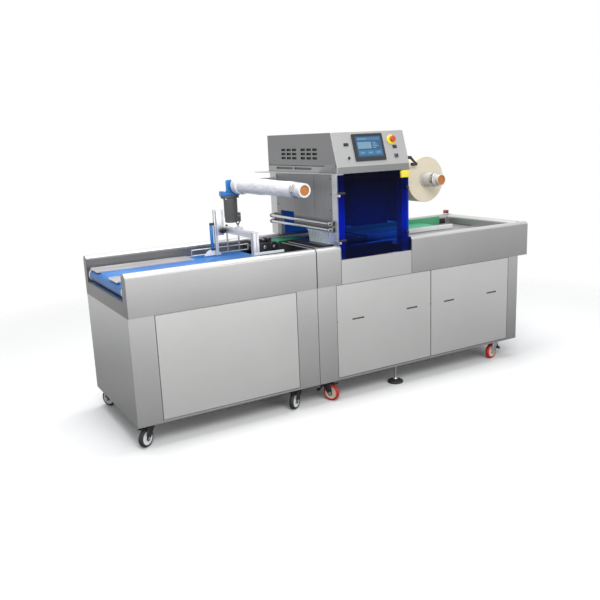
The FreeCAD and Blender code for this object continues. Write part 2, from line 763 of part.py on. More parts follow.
HOOD_OUTLINE = [
    ("head_front", "head_bottom"),
    ("hood_rear", "head_bottom"),
    ("hood_rear", "head_bottom + hood_lip + hood_slope_rise"),
    ("head_front + hood_slope_run", "head_bottom + hood_lip + hood_slope_rise"),
    ("head_front", "head_bottom + hood_lip"),
]
hood_block = outline_body("hood_block", "x", HOOD_OUTLINE, "head_width", HEAD_LEFT, "0", "0")
vents = []
for side, x in (("left", HEAD_LEFT), ("right", f"{HEAD_RIGHT} - vent_depth")):
    for column in range(6):
        gap = "vent_group_gap" if column > 2 else "0"
        for tier in range(3):
            vents.append(box(f"vent_{side}_{column}_{tier}", x,
                             f"vent_rear_y - vent_length - {column} * vent_pitch_y - {gap}",
                             f"vent_low_z + {tier} * vent_pitch_z", "vent_depth", "vent_length",
                             "vent_height"))
    for k, y in enumerate(("lip_slot_rear_y - lip_slot_length",
                           "lip_slot_rear_y - 2 * lip_slot_length - lip_slot_gap")):
        vents.append(box(f"lip_slot_{side}_{k}", x, y, "lip_slot_z", "vent_depth", "lip_slot_length",
                         "vent_height"))
cut("hood", hood_block, vents)
outline_body("hood_shelf", "z", [
    (HEAD_LEFT, "head_front"),
    (HEAD_LEFT, "hood_rear"),
    (f"{HEAD_LEFT} - shelf_reach", "hood_rear"),
    (f"{HEAD_LEFT} - shelf_front_reach", "head_front"),
], "shelf_thickness", "0", "0", "head_bottom")

# Operator panel: pieces stand on the sloping face of the hood
SLOPE_BASE_Z = "(head_bottom + hood_lip)"


def on_slope(thing, x, up, proud, turn):
    """Place a piece by its distance along and up the slope, and how far it stands out."""
    thing.Placement.Rotation = FreeCAD.Rotation(ALONG_X, 1)
    bind(thing, "Placement.Rotation.Angle", turn)
    put(thing, f"{HEAD_LEFT} + {x}", f"head_front + ({up}) * sin({SLOPE}) - ({proud}) * cos({SLOPE})",
        f"{SLOPE_BASE_Z} + ({up}) * cos({SLOPE}) + ({proud}) * sin({SLOPE})")
    return thing


def slope_box(label, x, up, width, height, proud):
    thing = doc.addObject("Part::Box", label)
    bind(thing, "Length", width)
    bind(thing, "Width", proud)
    bind(thing, "Height", height)
    return on_slope(thing, x, up, proud, f"-{SLOPE}")


def slope_disc(label, x, up, start, radius, thickness):
    thing = doc.addObject("Part::Cylinder", label)
    bind(thing, "Radius", radius)
    bind(thing, "Height", thickness)
    return on_slope(thing, x, up, start, f"90 deg - {SLOPE}")


slope_box("control_screen", "screen_x", "screen_up", "screen_width", "screen_height", "screen_proud")
STOP_HEAD_START = "(stop_plate_thickness + stop_travel + stop_head_gap)"
cut("stop_plate", slope_disc("stop_plate_disc", "stop_x", "stop_up", "0", "stop_plate_radius",
                             "stop_plate_thickness"),
    [slope_disc("stop_plate_bore", "stop_x", "stop_up", "0", "stop_stem_radius + stop_clearance",
                "stop_plate_thickness")])
group("panel_buttons", [
    slope_disc("button_low_left", "button_left_x", "button_low_up", "0", "button_radius", "button_proud"),
    slope_disc("button_low_right", "button_right_x", "button_low_up", "0", "button_radius", "button_proud"),
    slope_disc("port_left", "button_left_x", "port_up", "0", "button_radius", "button_proud / 2"),
])
fuse("stop_button", [
    slope_disc("stop_stem", "stop_x", "stop_up", "stop_travel + stop_clearance", "stop_stem_radius",
               f"{STOP_HEAD_START} - stop_travel - stop_clearance"),
    slope_disc("stop_head", "stop_x", "stop_up", STOP_HEAD_START, "stop_head_radius",
               "stop_head_thickness"),
])

# Dies: the upper one hangs from the hood, the lower one rides on two lift columns
DIE_LEFT = f"({HEAD_LEFT} + die_x)"
UPPER_BLOCK_Z = "(upper_die_bottom + seal_plate_height)"
upper_columns = [
    rod(f"upper_column_{a}_{b}", "z", x, y, f"{UPPER_BLOCK_Z} + upper_die_height", "die_column_radius",
        f"head_bottom - {UPPER_BLOCK_Z} - upper_die_height")
    for a, x in enumerate((f"{DIE_LEFT} + 2 * die_column_radius",
                           f"{DIE_LEFT} + die_length - 2 * die_column_radius"))
    for b, y in enumerate(("die_y + 2 * die_column_radius", "die_y + die_width - 2 * die_column_radius"))
]
fuse("upper_die", upper_columns + [
    box("upper_die_block", DIE_LEFT, "die_y", UPPER_BLOCK_Z, "die_length", "die_width", "upper_die_height"),
    box("seal_plate", f"{DIE_LEFT} + seal_plate_margin", "die_y + seal_plate_margin", "upper_die_bottom",
        "die_length - 2 * seal_plate_margin", "die_width - 2 * seal_plate_margin", "seal_plate_height"),
])
lower_block = cut("lower_die_block", box("lower_die_body", DIE_LEFT, "die_y", "lower_die_bottom",
                                         "die_length", "die_width", "lower_die_height"), [
    box(f"die_pocket_{k}", f"{DIE_LEFT} + die_pocket_margin", y,
        "lower_die_bottom + lower_die_height - die_pocket_depth", "die_length - 2 * die_pocket_margin",
        "die_width / 2 - 1.5 * die_pocket_margin", "die_pocket_depth")
    for k, y in enumerate(("die_y + die_pocket_margin", "die_y + die_width / 2 + die_pocket_margin / 2"))
])
fuse("lower_die", [lower_block] + [
    rod(f"lift_column_{k}", "z", COLUMN_X, y, "lower_die_bottom - lift_column_depth", "lift_column_radius",
        "lift_column_depth")
    for k, y in enumerate(COLUMN_Y)
])

# Front guard: one sheet joggled forward at its foot, on two hinges at its left edge
GUARD_LEFT = f"({HEAD_LEFT} + guard_side_gap)"
GUARD_RIGHT = f"({HEAD_RIGHT} - guard_side_gap)"
GUARD_FOOT = "centre_panel_top + guard_gap"
GUARD_TOP = "head_bottom - guard_gap"
GUARD_FACE = "guard_step"
outline_body("guard_door", "x", [
    ("guard_thickness", GUARD_FOOT),
    ("2 * guard_thickness", GUARD_FOOT),
    ("2 * guard_thickness", "guard_joggle_z"),
    ("2 * guard_thickness + guard_step", "guard_joggle_z"),
    ("2 * guard_thickness + guard_step", GUARD_TOP),
    ("guard_thickness + guard_step", GUARD_TOP),
    ("guard_thickness + guard_step", "guard_joggle_z + guard_thickness"),
    ("guard_thickness", "guard_joggle_z + guard_thickness"),
], "head_width - 2 * guard_side_gap", GUARD_LEFT, "-guard_thickness", "0")

HINGE_X = f"({HEAD_LEFT} - hinge_axis_x)"
HINGE_Y = "(-hinge_axis_y)"
brackets = []
hardware = []
for name, z in (("low", "hinge_low_z"), ("high", "hinge_high_z")):
    brackets.append(fuse(f"hinge_bracket_{name}", [
        box(f"hinge_arm_{name}", f"{HINGE_X} - hinge_radius", HINGE_Y, f"{z} - hinge_height",
            "hinge_radius + hinge_axis_x", f"hinge_axis_y + {POST_FRONT} + post_side / 2", "hinge_height"),
        rod(f"hinge_boss_{name}", "z", HINGE_X, HINGE_Y, f"{z} - hinge_height", "hinge_radius",
            "hinge_height"),
        rod(f"hinge_pin_{name}", "z", HINGE_X, HINGE_Y, z, "hinge_pin_radius",
            "hinge_height + hinge_clearance"),
    ]))
    leaf_z = f"{z} + hinge_clearance"
    leaf = fuse(f"hinge_leaf_solid_{name}", [
        rod(f"hinge_knuckle_{name}", "z", HINGE_X, HINGE_Y, leaf_z, "hinge_radius", "hinge_height"),
        box(f"hinge_plate_{name}", HINGE_X, f"{HINGE_Y} - hinge_radius", leaf_z,
            "hinge_axis_x + guard_side_gap + hinge_leaf_reach", "guard_thickness", "hinge_height"),
        box(f"hinge_block_{name}", f"{GUARD_LEFT} + hinge_leaf_reach / 2", f"{HINGE_Y} - hinge_radius",
            leaf_z, "hinge_leaf_reach / 2", f"{GUARD_FACE} + hinge_axis_y + hinge_radius", "hinge_height"),
    ])
    bore = rod(f"hinge_bore_{name}", "z", HINGE_X, HINGE_Y, leaf_z, "hinge_pin_radius + hinge_clearance",
               "hinge_height")
    hardware.append(cut(f"hinge_leaf_{name}", leaf, [bore]))
    hardware.append(rod(f"guard_knob_{name}", "y", f"{GUARD_RIGHT} - knob_inset + guard_side_gap",
                        f"{GUARD_FACE} - knob_length", f"{z} + hinge_height / 2", "knob_radius",
                        "knob_length"))
hardware.append(box("safety_actuator", f"{GUARD_RIGHT} - switch_width", f"{GUARD_FACE} - switch_depth",
                    f"{GUARD_TOP} - switch_height", "switch_width", "switch_depth", "switch_height"))
group("guard_hinge_brackets", brackets)
group("guard_hardware", hardware)

# Chromed rods one above the other left of the head, between two brackets on the posts
film_parts = []
for name, y in (("front", "film_rod_front - film_bracket_thickness"), ("rear", "film_rod_rear")):
    film_parts.append(box(f"film_bracket_{name}", f"{HEAD_LEFT} - film_rod_x - 2 * film_rod_radius", y,
                          "film_rod_low_z - 2 * film_rod_radius", "film_rod_x + 2 * film_rod_radius",
                          "film_bracket_thickness",
                          "film_rod_high_z - film_rod_low_z + 4 * film_rod_radius"))
for name in ("high", "low"):
    film_parts.append(rod(f"film_rod_{name}", "y", f"{HEAD_LEFT} - film_rod_x", "film_rod_front",
                          f"film_rod_{name}_z", "film_rod_radius", "film_rod_rear - film_rod_front"))
fuse("film_rods", film_parts)

# Reels: each turns on its shaft in an arm that stands out from the head's rear post
REWIND_ARM_Y = "(rewind_film_end + rewind_flange + reel_arm_gap)"
SUPPLY_ARM_Y = "(supply_end + rewind_flange + reel_arm_gap)"


def arm(label, x, z, arm_y, post_x):
    """A flat arm with a round end that carries a reel's shaft."""
    left_end = post_x != HEAD_RIGHT
    start = x if left_end else post_x
    length = f"{post_x} - {x}" if left_end else f"{x} - {post_x}"
    bar = box(label + "_bar", start, arm_y, f"{z} - reel_arm_height / 2", length, "reel_arm_thickness",
              "reel_arm_height")
    end = rod(label + "_end", "y", x, arm_y, z, "reel_arm_height / 2", "reel_arm_thickness")
    bore = rod(label + "_bore", "y", x, arm_y, z, "shaft_radius + shaft_clearance", "reel_arm_thickness")
    return cut(label, fuse(label + "_solid", [bar, end]), [bore])


def reel(label, x, z, film_radius, start, end, arm_y):
    """Shaft, core, film and caps of one reel as one turned piece."""
    return fuse(label, [
        rod(label + "_cap", "y", x, "-reel_front_reach", z, "cap_radius", "cap_thickness"),
        rod(label + "_core", "y", x, "cap_thickness - reel_front_reach", z, "core_radius",
            f"{start} + reel_front_reach - cap_thickness"),
        rod(label + "_film", "y", x, start, z, film_radius, f"{end} - {start}"),
        rod(label + "_flange", "y", x, end, z, "rewind_flange_radius", "rewind_flange"),
        rod(label + "_shaft", "y", x, f"{end} + rewind_flange", z, "shaft_radius",
            f"{arm_y} + 1.5 * reel_arm_thickness - {end} - rewind_flange"),
    ])


reel("rewind_reel", "rewind_x", "rewind_z", "rewind_film_radius", "rewind_film_start", "rewind_film_end",
     REWIND_ARM_Y)
reel("supply_reel", "supply_x", "supply_z", "supply_radius", "supply_start", "supply_end", SUPPLY_ARM_Y)
group("reel_arms", [
    arm("rewind_arm", "rewind_x", "rewind_z", REWIND_ARM_Y, HEAD_LEFT),
    arm("supply_arm", "supply_x", "supply_z", SUPPLY_ARM_Y, HEAD_RIGHT),
])
fuse("film_dancer", [
    rod("dancer_roller", "y", f"{HEAD_RIGHT} + dancer_x", "head_front + hood_slope_run", "dancer_z",
        "dancer_radius", "head_rear - head_front - 2 * hood_slope_run"),
    box("dancer_arm_front", HEAD_RIGHT, "head_front + hood_slope_run", "dancer_z - dancer_radius",
        "dancer_x", "dancer_arm", "2 * dancer_radius"),
    box("dancer_arm_rear", HEAD_RIGHT, "head_rear - hood_slope_run - dancer_arm",
        "dancer_z - dancer_radius", "dancer_x", "dancer_arm", "2 * dancer_radius"),
])

# Gear motor that hangs behind the rewind arm
MOTOR_Y = "(reel_rear_reach - motor_radius)"
PLATE_Y = f"({REWIND_ARM_Y} + reel_arm_thickness)"
FLANGE_TOP = "(motor_top + motor_flange_height)"
blue_plate = cut("blue_plate", box("blue_plate_sheet", "motor_x - motor_radius + dancer_arm", PLATE_Y,
                                   FLANGE_TOP, "motor_flange_width", "dancer_arm",
                                   f"blue_plate_top - {FLANGE_TOP}"),
                 [rod("blue_plate_bore", "y", "rewind_x", PLATE_Y, "rewind_z",
                      "shaft_radius + shaft_clearance", "dancer_arm")])
fuse("rewind_gearmotor", [
    blue_plate,
    box("motor_flange", "motor_x - motor_flange_width / 2", PLATE_Y, "motor_top", "motor_flange_width",
        f"reel_rear_reach - {PLATE_Y}", "motor_flange_height"),
    rod("motor_body", "z", "motor_x", MOTOR_Y, "motor_bottom", "motor_radius", "motor_top - motor_bottom"),
    box("motor_terminal", "motor_x + motor_radius - terminal_side / 2", f"{MOTOR_Y} - terminal_side / 2",
        "motor_bottom", "terminal_side", "terminal_side", "terminal_height"),
])

# Levelling feet under the sealing module
feet = []
for side, y in (("front", "foot_edge"), ("rear", "machine_width - foot_edge")):
    x = "infeed_length + foot_x"
    feet.append(fuse(f"levelling_foot_{side}", [
        rod(f"foot_pad_{side}", "z", x, y, "0", "foot_radius", "foot_pad"),
        cone(f"foot_cone_{side}", x, y, "foot_pad", "foot_radius", "foot_stem_radius", "foot_cone"),
        rod(f"foot_stem_{side}", "z", x, y, "foot_pad", "foot_stem_radius", "cabinet_bottom - foot_pad"),
        rod(f"foot_nut_{side}", "z", x, y, "cabinet_bottom - foot_nut", "foot_nut_radius", "foot_nut"),
    ]))
group("levelling_feet", feet)

# Casters: swivel axis at each piece's own origin, wheel trailing along its own +X
FORK_Y = "(wheel_width / 2 + fork_gap)"
CROWN_Z = "(2 * wheel_radius + fork_gap)"
CROWN_TOP = f"({CROWN_Z} + fork_crown)"
REAR_EDGE = "machine_width - caster_edge"
CASTERS = {
    "infeed_front_left": ("infeed_caster_left", "caster_edge", 212),
    "infeed_front_right": ("infeed_length - infeed_caster_right", "caster_edge", 212),
    "infeed_rear_left": ("infeed_caster_left", REAR_EDGE, 120),
    "infeed_rear_right": ("infeed_length - infeed_caster_right", REAR_EDGE, 150),
    "sealer_front_left": ("infeed_length + sealer_caster_left", "caster_edge", 300),
    "sealer_front_right": (f"{CABINET_RIGHT} - sealer_caster_right", "caster_edge", 190),
    "sealer_rear_left": ("infeed_length + sealer_caster_left", REAR_EDGE, 60),
    "sealer_rear_right": (f"{CABINET_RIGHT} - sealer_caster_right", REAR_EDGE, 160),
}


def swivel(thing, x, y, angle):
    thing.Placement = FreeCAD.Placement(FreeCAD.Vector(), FreeCAD.Rotation(ALONG_Z, angle))
    put(thing, x, y, "0")
    return thing


def fork(label, x, y, angle):
    pieces = [
        rod(label + "_swivel", "z", "0", "0", CROWN_TOP, "swivel_radius",
            f"cabinet_bottom - mount_plate - swivel_clearance - {CROWN_TOP}", local=True),
        box(label + "_crown", "-fork_half_length", f"-{FORK_Y} - fork_plate", CROWN_Z,
            "fork_half_length + caster_trail + axle_radius", f"2 * {FORK_Y} + 2 * fork_plate",
            "fork_crown", local=True),
        rod(label + "_axle", "y", "caster_trail", f"-{FORK_Y}", "wheel_radius", "axle_radius",
            f"2 * {FORK_Y}", local=True),
        box(label + "_pedal", "caster_trail + axle_radius", "-fork_half_length / 2", CROWN_Z,
            "pedal_length + axle_radius", "fork_half_length", "pedal_thickness", local=True),
    ]
    leg = [
        ("axle_radius", CROWN_Z),
        ("fork_half_length + caster_trail + axle_radius", CROWN_Z),
        ("fork_half_length + caster_trail + 2 * axle_radius", "wheel_radius - 2 * axle_radius"),
        ("fork_half_length + caster_trail - 2 * axle_radius", "wheel_radius - 2 * axle_radius"),
    ]
    for side, leg_y in (("a", f"-{FORK_Y} - fork_plate"), ("b", FORK_Y)):
        pieces.append(outline_body(f"{label}_leg_{side}", "y", leg, "fork_plate", "-fork_half_length",
                                   leg_y, "0", local=True))
    return swivel(fuse(label, pieces), x, y, angle)


def wheel(label, x, y, angle):
    body = doc.addObject("PartDesign::Body", label + "_body")
    tyre = body.newObject("PartDesign::AdditiveCylinder", label + "_tyre")
    bind(tyre, "Radius", "wheel_radius")
    bind(tyre, "Height", "wheel_width")
    doc.recompute()
    rims = [f"Edge{n}" for n, e in enumerate(tyre.Shape.Edges, start=1) if e.Closed]
    fillet = body.newObject("PartDesign::Fillet", label + "_round")
    fillet.Base = (tyre, rims)
    bind(fillet, "Radius", "wheel_round")
    body.Placement.Rotation = TURNS["y"]
    put(body, "caster_trail", "-wheel_width / 2", "wheel_radius", local=True)
    cutters = [rod(label + "_bore", "y", "caster_trail", "-wheel_width / 2", "wheel_radius",
                   "axle_radius + axle_clearance", "wheel_width", local=True)]
    for side, hub_y in (("a", "-wheel_width / 2"), ("b", "wheel_width / 2 - hub_recess")):
        cutters.append(rod(f"{label}_recess_{side}", "y", "caster_trail", hub_y, "wheel_radius",
                           "hub_radius", "hub_recess", local=True))
    return swivel(cut(label, body, cutters), x, y, angle)


plates = []
for name, place in CASTERS.items():
    fork("fork_" + name, *place)
    wheel("wheel_" + name, *place)
    plates.append(box("plate_" + name, f"{place[0]} - mount_plate_side / 2",
                      f"{place[1]} - mount_plate_side / 2", "cabinet_bottom - mount_plate",
                      "mount_plate_side", "mount_plate_side", "mount_plate"))
group("caster_plates", plates)

SUB_PARTS = [
    "infeed_cabinet", "infeed_panels", "infeed_rims", "infeed_belt", "conveyor_bed", "guide_covers",
    "front_guide_rail", "gantry_frame", "tray_guides", "transfer_rollers", "green_belts", "tray_table",
    "tray", "sealer_cabinet", "sealer_panels", "sealer_front_rims", "sealer_rear_rim", "outfeed_end_rim",
    "centre_front_panel", "outfeed_deck", "outfeed_guides", "outfeed_sensor", "head_posts", "side_walls",
    "rear_guard", "hood", "hood_shelf", "control_screen", "stop_plate", "panel_buttons", "stop_button",
    "upper_die", "lower_die", "guard_hinge_brackets", "guard_door", "guard_hardware", "film_rods",
    "reel_arms", "rewind_reel", "supply_reel", "film_dancer", "rewind_gearmotor", "levelling_feet",
    "caster_plates",
] + [f"{kind}_{name}" for kind in ("fork", "wheel") for name in CASTERS]

doc.recompute()
for thing in doc.Objects:
    if "Invalid" in thing.State or "Error" in thing.State:
        raise RuntimeError(f"{thing.Label} failed: {thing.State}")
os.makedirs("parts", exist_ok=True)
for name in SUB_PARTS:
    shape = doc.getObject(name).Shape
    if shape.isNull() or not shape.isValid() or not shape.Solids:
        raise RuntimeError(f"{name} has no valid solid")
    shape.exportStep(f"parts/{name}.step")
    bounds = shape.BoundBox
    print(f"{name}: {len(shape.Solids)} solids, x {bounds.XMin:.1f} {bounds.XMax:.1f}, "
          f"y {bounds.YMin:.1f} {bounds.YMax:.1f}, z {bounds.ZMin:.1f} {bounds.ZMax:.1f}")
print(f"{len(SUB_PARTS)} sub-parts")
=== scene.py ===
import json
import math

import bmesh
import bpy
from mathutils import Matrix, Vector, noise


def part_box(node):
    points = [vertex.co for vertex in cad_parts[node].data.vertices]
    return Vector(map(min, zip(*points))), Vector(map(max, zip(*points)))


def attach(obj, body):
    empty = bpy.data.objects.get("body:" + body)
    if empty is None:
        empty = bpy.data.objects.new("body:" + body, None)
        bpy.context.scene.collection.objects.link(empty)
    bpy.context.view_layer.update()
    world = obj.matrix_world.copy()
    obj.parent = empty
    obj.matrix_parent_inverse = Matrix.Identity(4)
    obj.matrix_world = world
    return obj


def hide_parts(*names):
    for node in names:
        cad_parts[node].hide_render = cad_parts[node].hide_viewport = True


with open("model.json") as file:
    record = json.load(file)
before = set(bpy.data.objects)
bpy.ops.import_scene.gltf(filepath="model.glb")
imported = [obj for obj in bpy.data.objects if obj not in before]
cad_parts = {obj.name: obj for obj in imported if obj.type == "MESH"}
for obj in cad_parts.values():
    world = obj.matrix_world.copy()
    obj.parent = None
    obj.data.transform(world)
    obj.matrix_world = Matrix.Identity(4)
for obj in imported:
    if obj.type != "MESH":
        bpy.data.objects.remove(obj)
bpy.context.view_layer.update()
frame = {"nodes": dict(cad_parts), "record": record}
NODES = frame["nodes"]
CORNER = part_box("infeed_rims")[0]
MM = 0.001
AXES = {"x": (1, 0, 0), "y": (0, 1, 0), "z": (0, 0, 1), "-x": (-1, 0, 0), "-y": (0, -1, 0)}
LEAN = math.atan2(62, 188)
REWIND, SUPPLY = (1014, 0, 1268), (1980, 0, 1262)
STOP = (416, 142, 0)


# Machine positions are in millimetres from the left end (x), the front face (y) and the floor (z)
def at(point):
    x, y, z = point
    return Vector((CORNER.x + x * MM, CORNER.y + y * MM, z * MM))


# Finishes


def shader(name, **sockets):
    mat = bpy.data.materials.new(name)
    mat.use_nodes = True
    bsdf = mat.node_tree.nodes["Principled BSDF"]
    for key, value in sockets.items():
        bsdf.inputs[key.replace("_", " ")].default_value = value
    return mat, mat.node_tree, bsdf


def coords(tree, scale, offset=(0, 0, 0)):
    where = tree.nodes.new("ShaderNodeTexCoord")
    mapping = tree.nodes.new("ShaderNodeMapping")
    mapping.inputs["Location"].default_value = offset
    mapping.inputs["Scale"].default_value = scale
    tree.links.new(where.outputs["Object"], mapping.inputs["Vector"])
    return mapping.outputs["Vector"]


def noise_at(tree, vector, scale, detail=3.0):
    node = tree.nodes.new("ShaderNodeTexNoise")
    node.inputs["Scale"].default_value = scale
    node.inputs["Detail"].default_value = detail
    tree.links.new(vector, node.inputs["Vector"])
    return node.outputs["Fac"]


def spread(tree, value, low, high, start=0.3, end=0.7):
    node = tree.nodes.new("ShaderNodeMapRange")
    node.inputs["From Min"].default_value = start
    node.inputs["From Max"].default_value = end
    node.inputs["To Min"].default_value = low
    node.inputs["To Max"].default_value = high
    tree.links.new(value, node.inputs["Value"])
    return node.outputs["Result"]


def arith(tree, operation, *values):
    """A Math node's result, from numbers and other nodes' outputs."""
    node = tree.nodes.new("ShaderNodeMath")
    node.operation = operation
    for socket, value in zip(node.inputs, values):
        if isinstance(value, (int, float)):
            socket.default_value = value
        else:
            tree.links.new(value, socket)
    return node.outputs[0]


def blend_colours(tree, factor, first, second):
    node = tree.nodes.new("ShaderNodeMix")
    node.data_type = "RGBA"
    node.inputs[6].default_value = (*first, 1)
    node.inputs[7].default_value = (*second, 1)
    tree.links.new(factor, node.inputs[0])
    return node.outputs[2]


def bump(tree, bsdf, height, strength, distance):
    node = tree.nodes.new("ShaderNodeBump")
    node.inputs["Strength"].default_value = strength
    node.inputs["Distance"].default_value = distance
    tree.links.new(height, node.inputs["Height"])
    tree.links.new(node.outputs["Normal"], bsdf.inputs["Normal"])


def finish(name, dark, light, rough, metal=0.0, stretch=(1, 1, 1), scale=60, relief=0.0, blotch=6,
           **sockets):
    """A finish whose colour, gloss and relief wander with a noise drawn out along its grain."""
    mat, tree, bsdf = shader(name, Metallic=metal, **sockets)
    grain = noise_at(tree, coords(tree, stretch), scale)
    cloud = noise_at(tree, coords(tree, (1, 1, 1)), blotch, 2.0)
    mottle = arith(tree, "MULTIPLY_ADD", grain, 0.5, arith(tree, "MULTIPLY", cloud, 0.5))
    factor = spread(tree, mottle, 0, 1, 0.35, 0.65)
    tree.links.new(blend_colours(tree, factor, dark, light), bsdf.inputs["Base Color"])
    tree.links.new(spread(tree, mottle, *rough), bsdf.inputs["Roughness"])
    if relief:
        bump(tree, bsdf, grain, relief, 0.0006)
    return mat


def slab(axis, low, high):
    """The part of space between two machine distances along one axis."""
    start = (CORNER.x, CORNER.y, 0)["xyz".index(axis)]
    return AXES[axis], start + low * MM, start + high * MM


def along(tree, vector, aim):
    """How far a point lies along a direction."""
    node = tree.nodes.new("ShaderNodeVectorMath")
    node.operation = "DOT_PRODUCT"
    node.inputs[1].default_value = aim
    tree.links.new(vector, node.inputs[0])
    return node.outputs["Value"]


def scale_colour(mat, factor):
    tree = mat.node_tree
    base = tree.nodes["Principled BSDF"].inputs["Base Color"]
    node = tree.nodes.new("ShaderNodeVectorMath")
    node.operation = "SCALE"
    tree.links.new(base.links[0].from_socket, node.inputs[0])
    tree.links.new(factor, node.inputs["Scale"])
    tree.links.new(node.outputs[0], base)


def shade_within(mat, slabs, factor):
    """Scale a finish's colour where all the slabs (direction, low, high) hold the point, to paint shade
    or light there.
    """
    tree = mat.node_tree
    vector = coords(tree, (1, 1, 1))
    inside = 1.0
    for aim, low, high in slabs:
        place = along(tree, vector, aim)
        for kind, limit in (("GREATER_THAN", low), ("LESS_THAN", high)):
            inside = arith(tree, "MULTIPLY", inside, arith(tree, kind, place, limit))
    scale_colour(mat, spread(tree, inside, 1, factor, 0, 1))


def fade_along(mat, axis, start, end, first, last):
    """Scale a finish's colour evenly between two machine distances along an axis, to paint a gradient of
    light.
    """
    tree = mat.node_tree
    aim, low, high = slab(axis, start, end)
    place = along(tree, coords(tree, (1, 1, 1)), aim)
    scale_colour(mat, spread(tree, place, first, last, low, high))


def waves(tree, vector, scale, kind="BANDS", direction="X"):
    node = tree.nodes.new("ShaderNodeTexWave")
    node.wave_type = kind
    if kind == "BANDS":
        node.bands_direction = direction
    else:
        node.rings_direction = direction
    node.inputs["Scale"].default_value = scale
    node.inputs["Distortion"].default_value = 0.4
    tree.links.new(vector, node.inputs["Vector"])
    return node.outputs["Fac"]


def paint_rib_shade(mat, scale, low):
    """Paint shade between a finish's ribs, which stand across x on some faces and across y on others."""
    tree = mat.node_tree
    vector = coords(tree, (1, 1, 1))
    both = arith(tree, "ADD", *[waves(tree, vector, scale, direction=way) for way in "XY"])
    scale_colour(mat, spread(tree, both, low, 1.1, 0.2, 1.6))


def belt_finish(name, dark, light, pitch):
    """A woven belt face: fine cords across each other, with worn patches."""
    mat, tree, bsdf = shader(name, Roughness=0.34, Specular_IOR_Level=0.28)
    vector = coords(tree, (1, 1, 1))
    weave = arith(tree, "MULTIPLY", *[waves(tree, vector, pitch, direction=way) for way in "XY"])
    patches = spread(tree, noise_at(tree, vector, 5), 0, 1)
    tree.links.new(blend_colours(tree, patches, dark, light), bsdf.inputs["Base Color"])
    bump(tree, bsdf, weave, 0.25, 0.0004)
    return mat


def ringed_finish(name, dark, light, centre, scale, **sockets):
    """The end face of wound film: fine rings round the reel's own axis."""
    mat, tree, bsdf = shader(name, Roughness=0.34, **sockets)
    place = at(centre)
    vector = coords(tree, (1, 1, 1), (-place.x, 0, -place.z))
    rings = waves(tree, vector, scale, "RINGS", "Y")
    tree.links.new(blend_colours(tree, spread(tree, rings, 0, 1, 0, 1), dark, light),
                   bsdf.inputs["Base Color"])
    bump(tree, bsdf, rings, 0.2, 0.0003)
    return mat


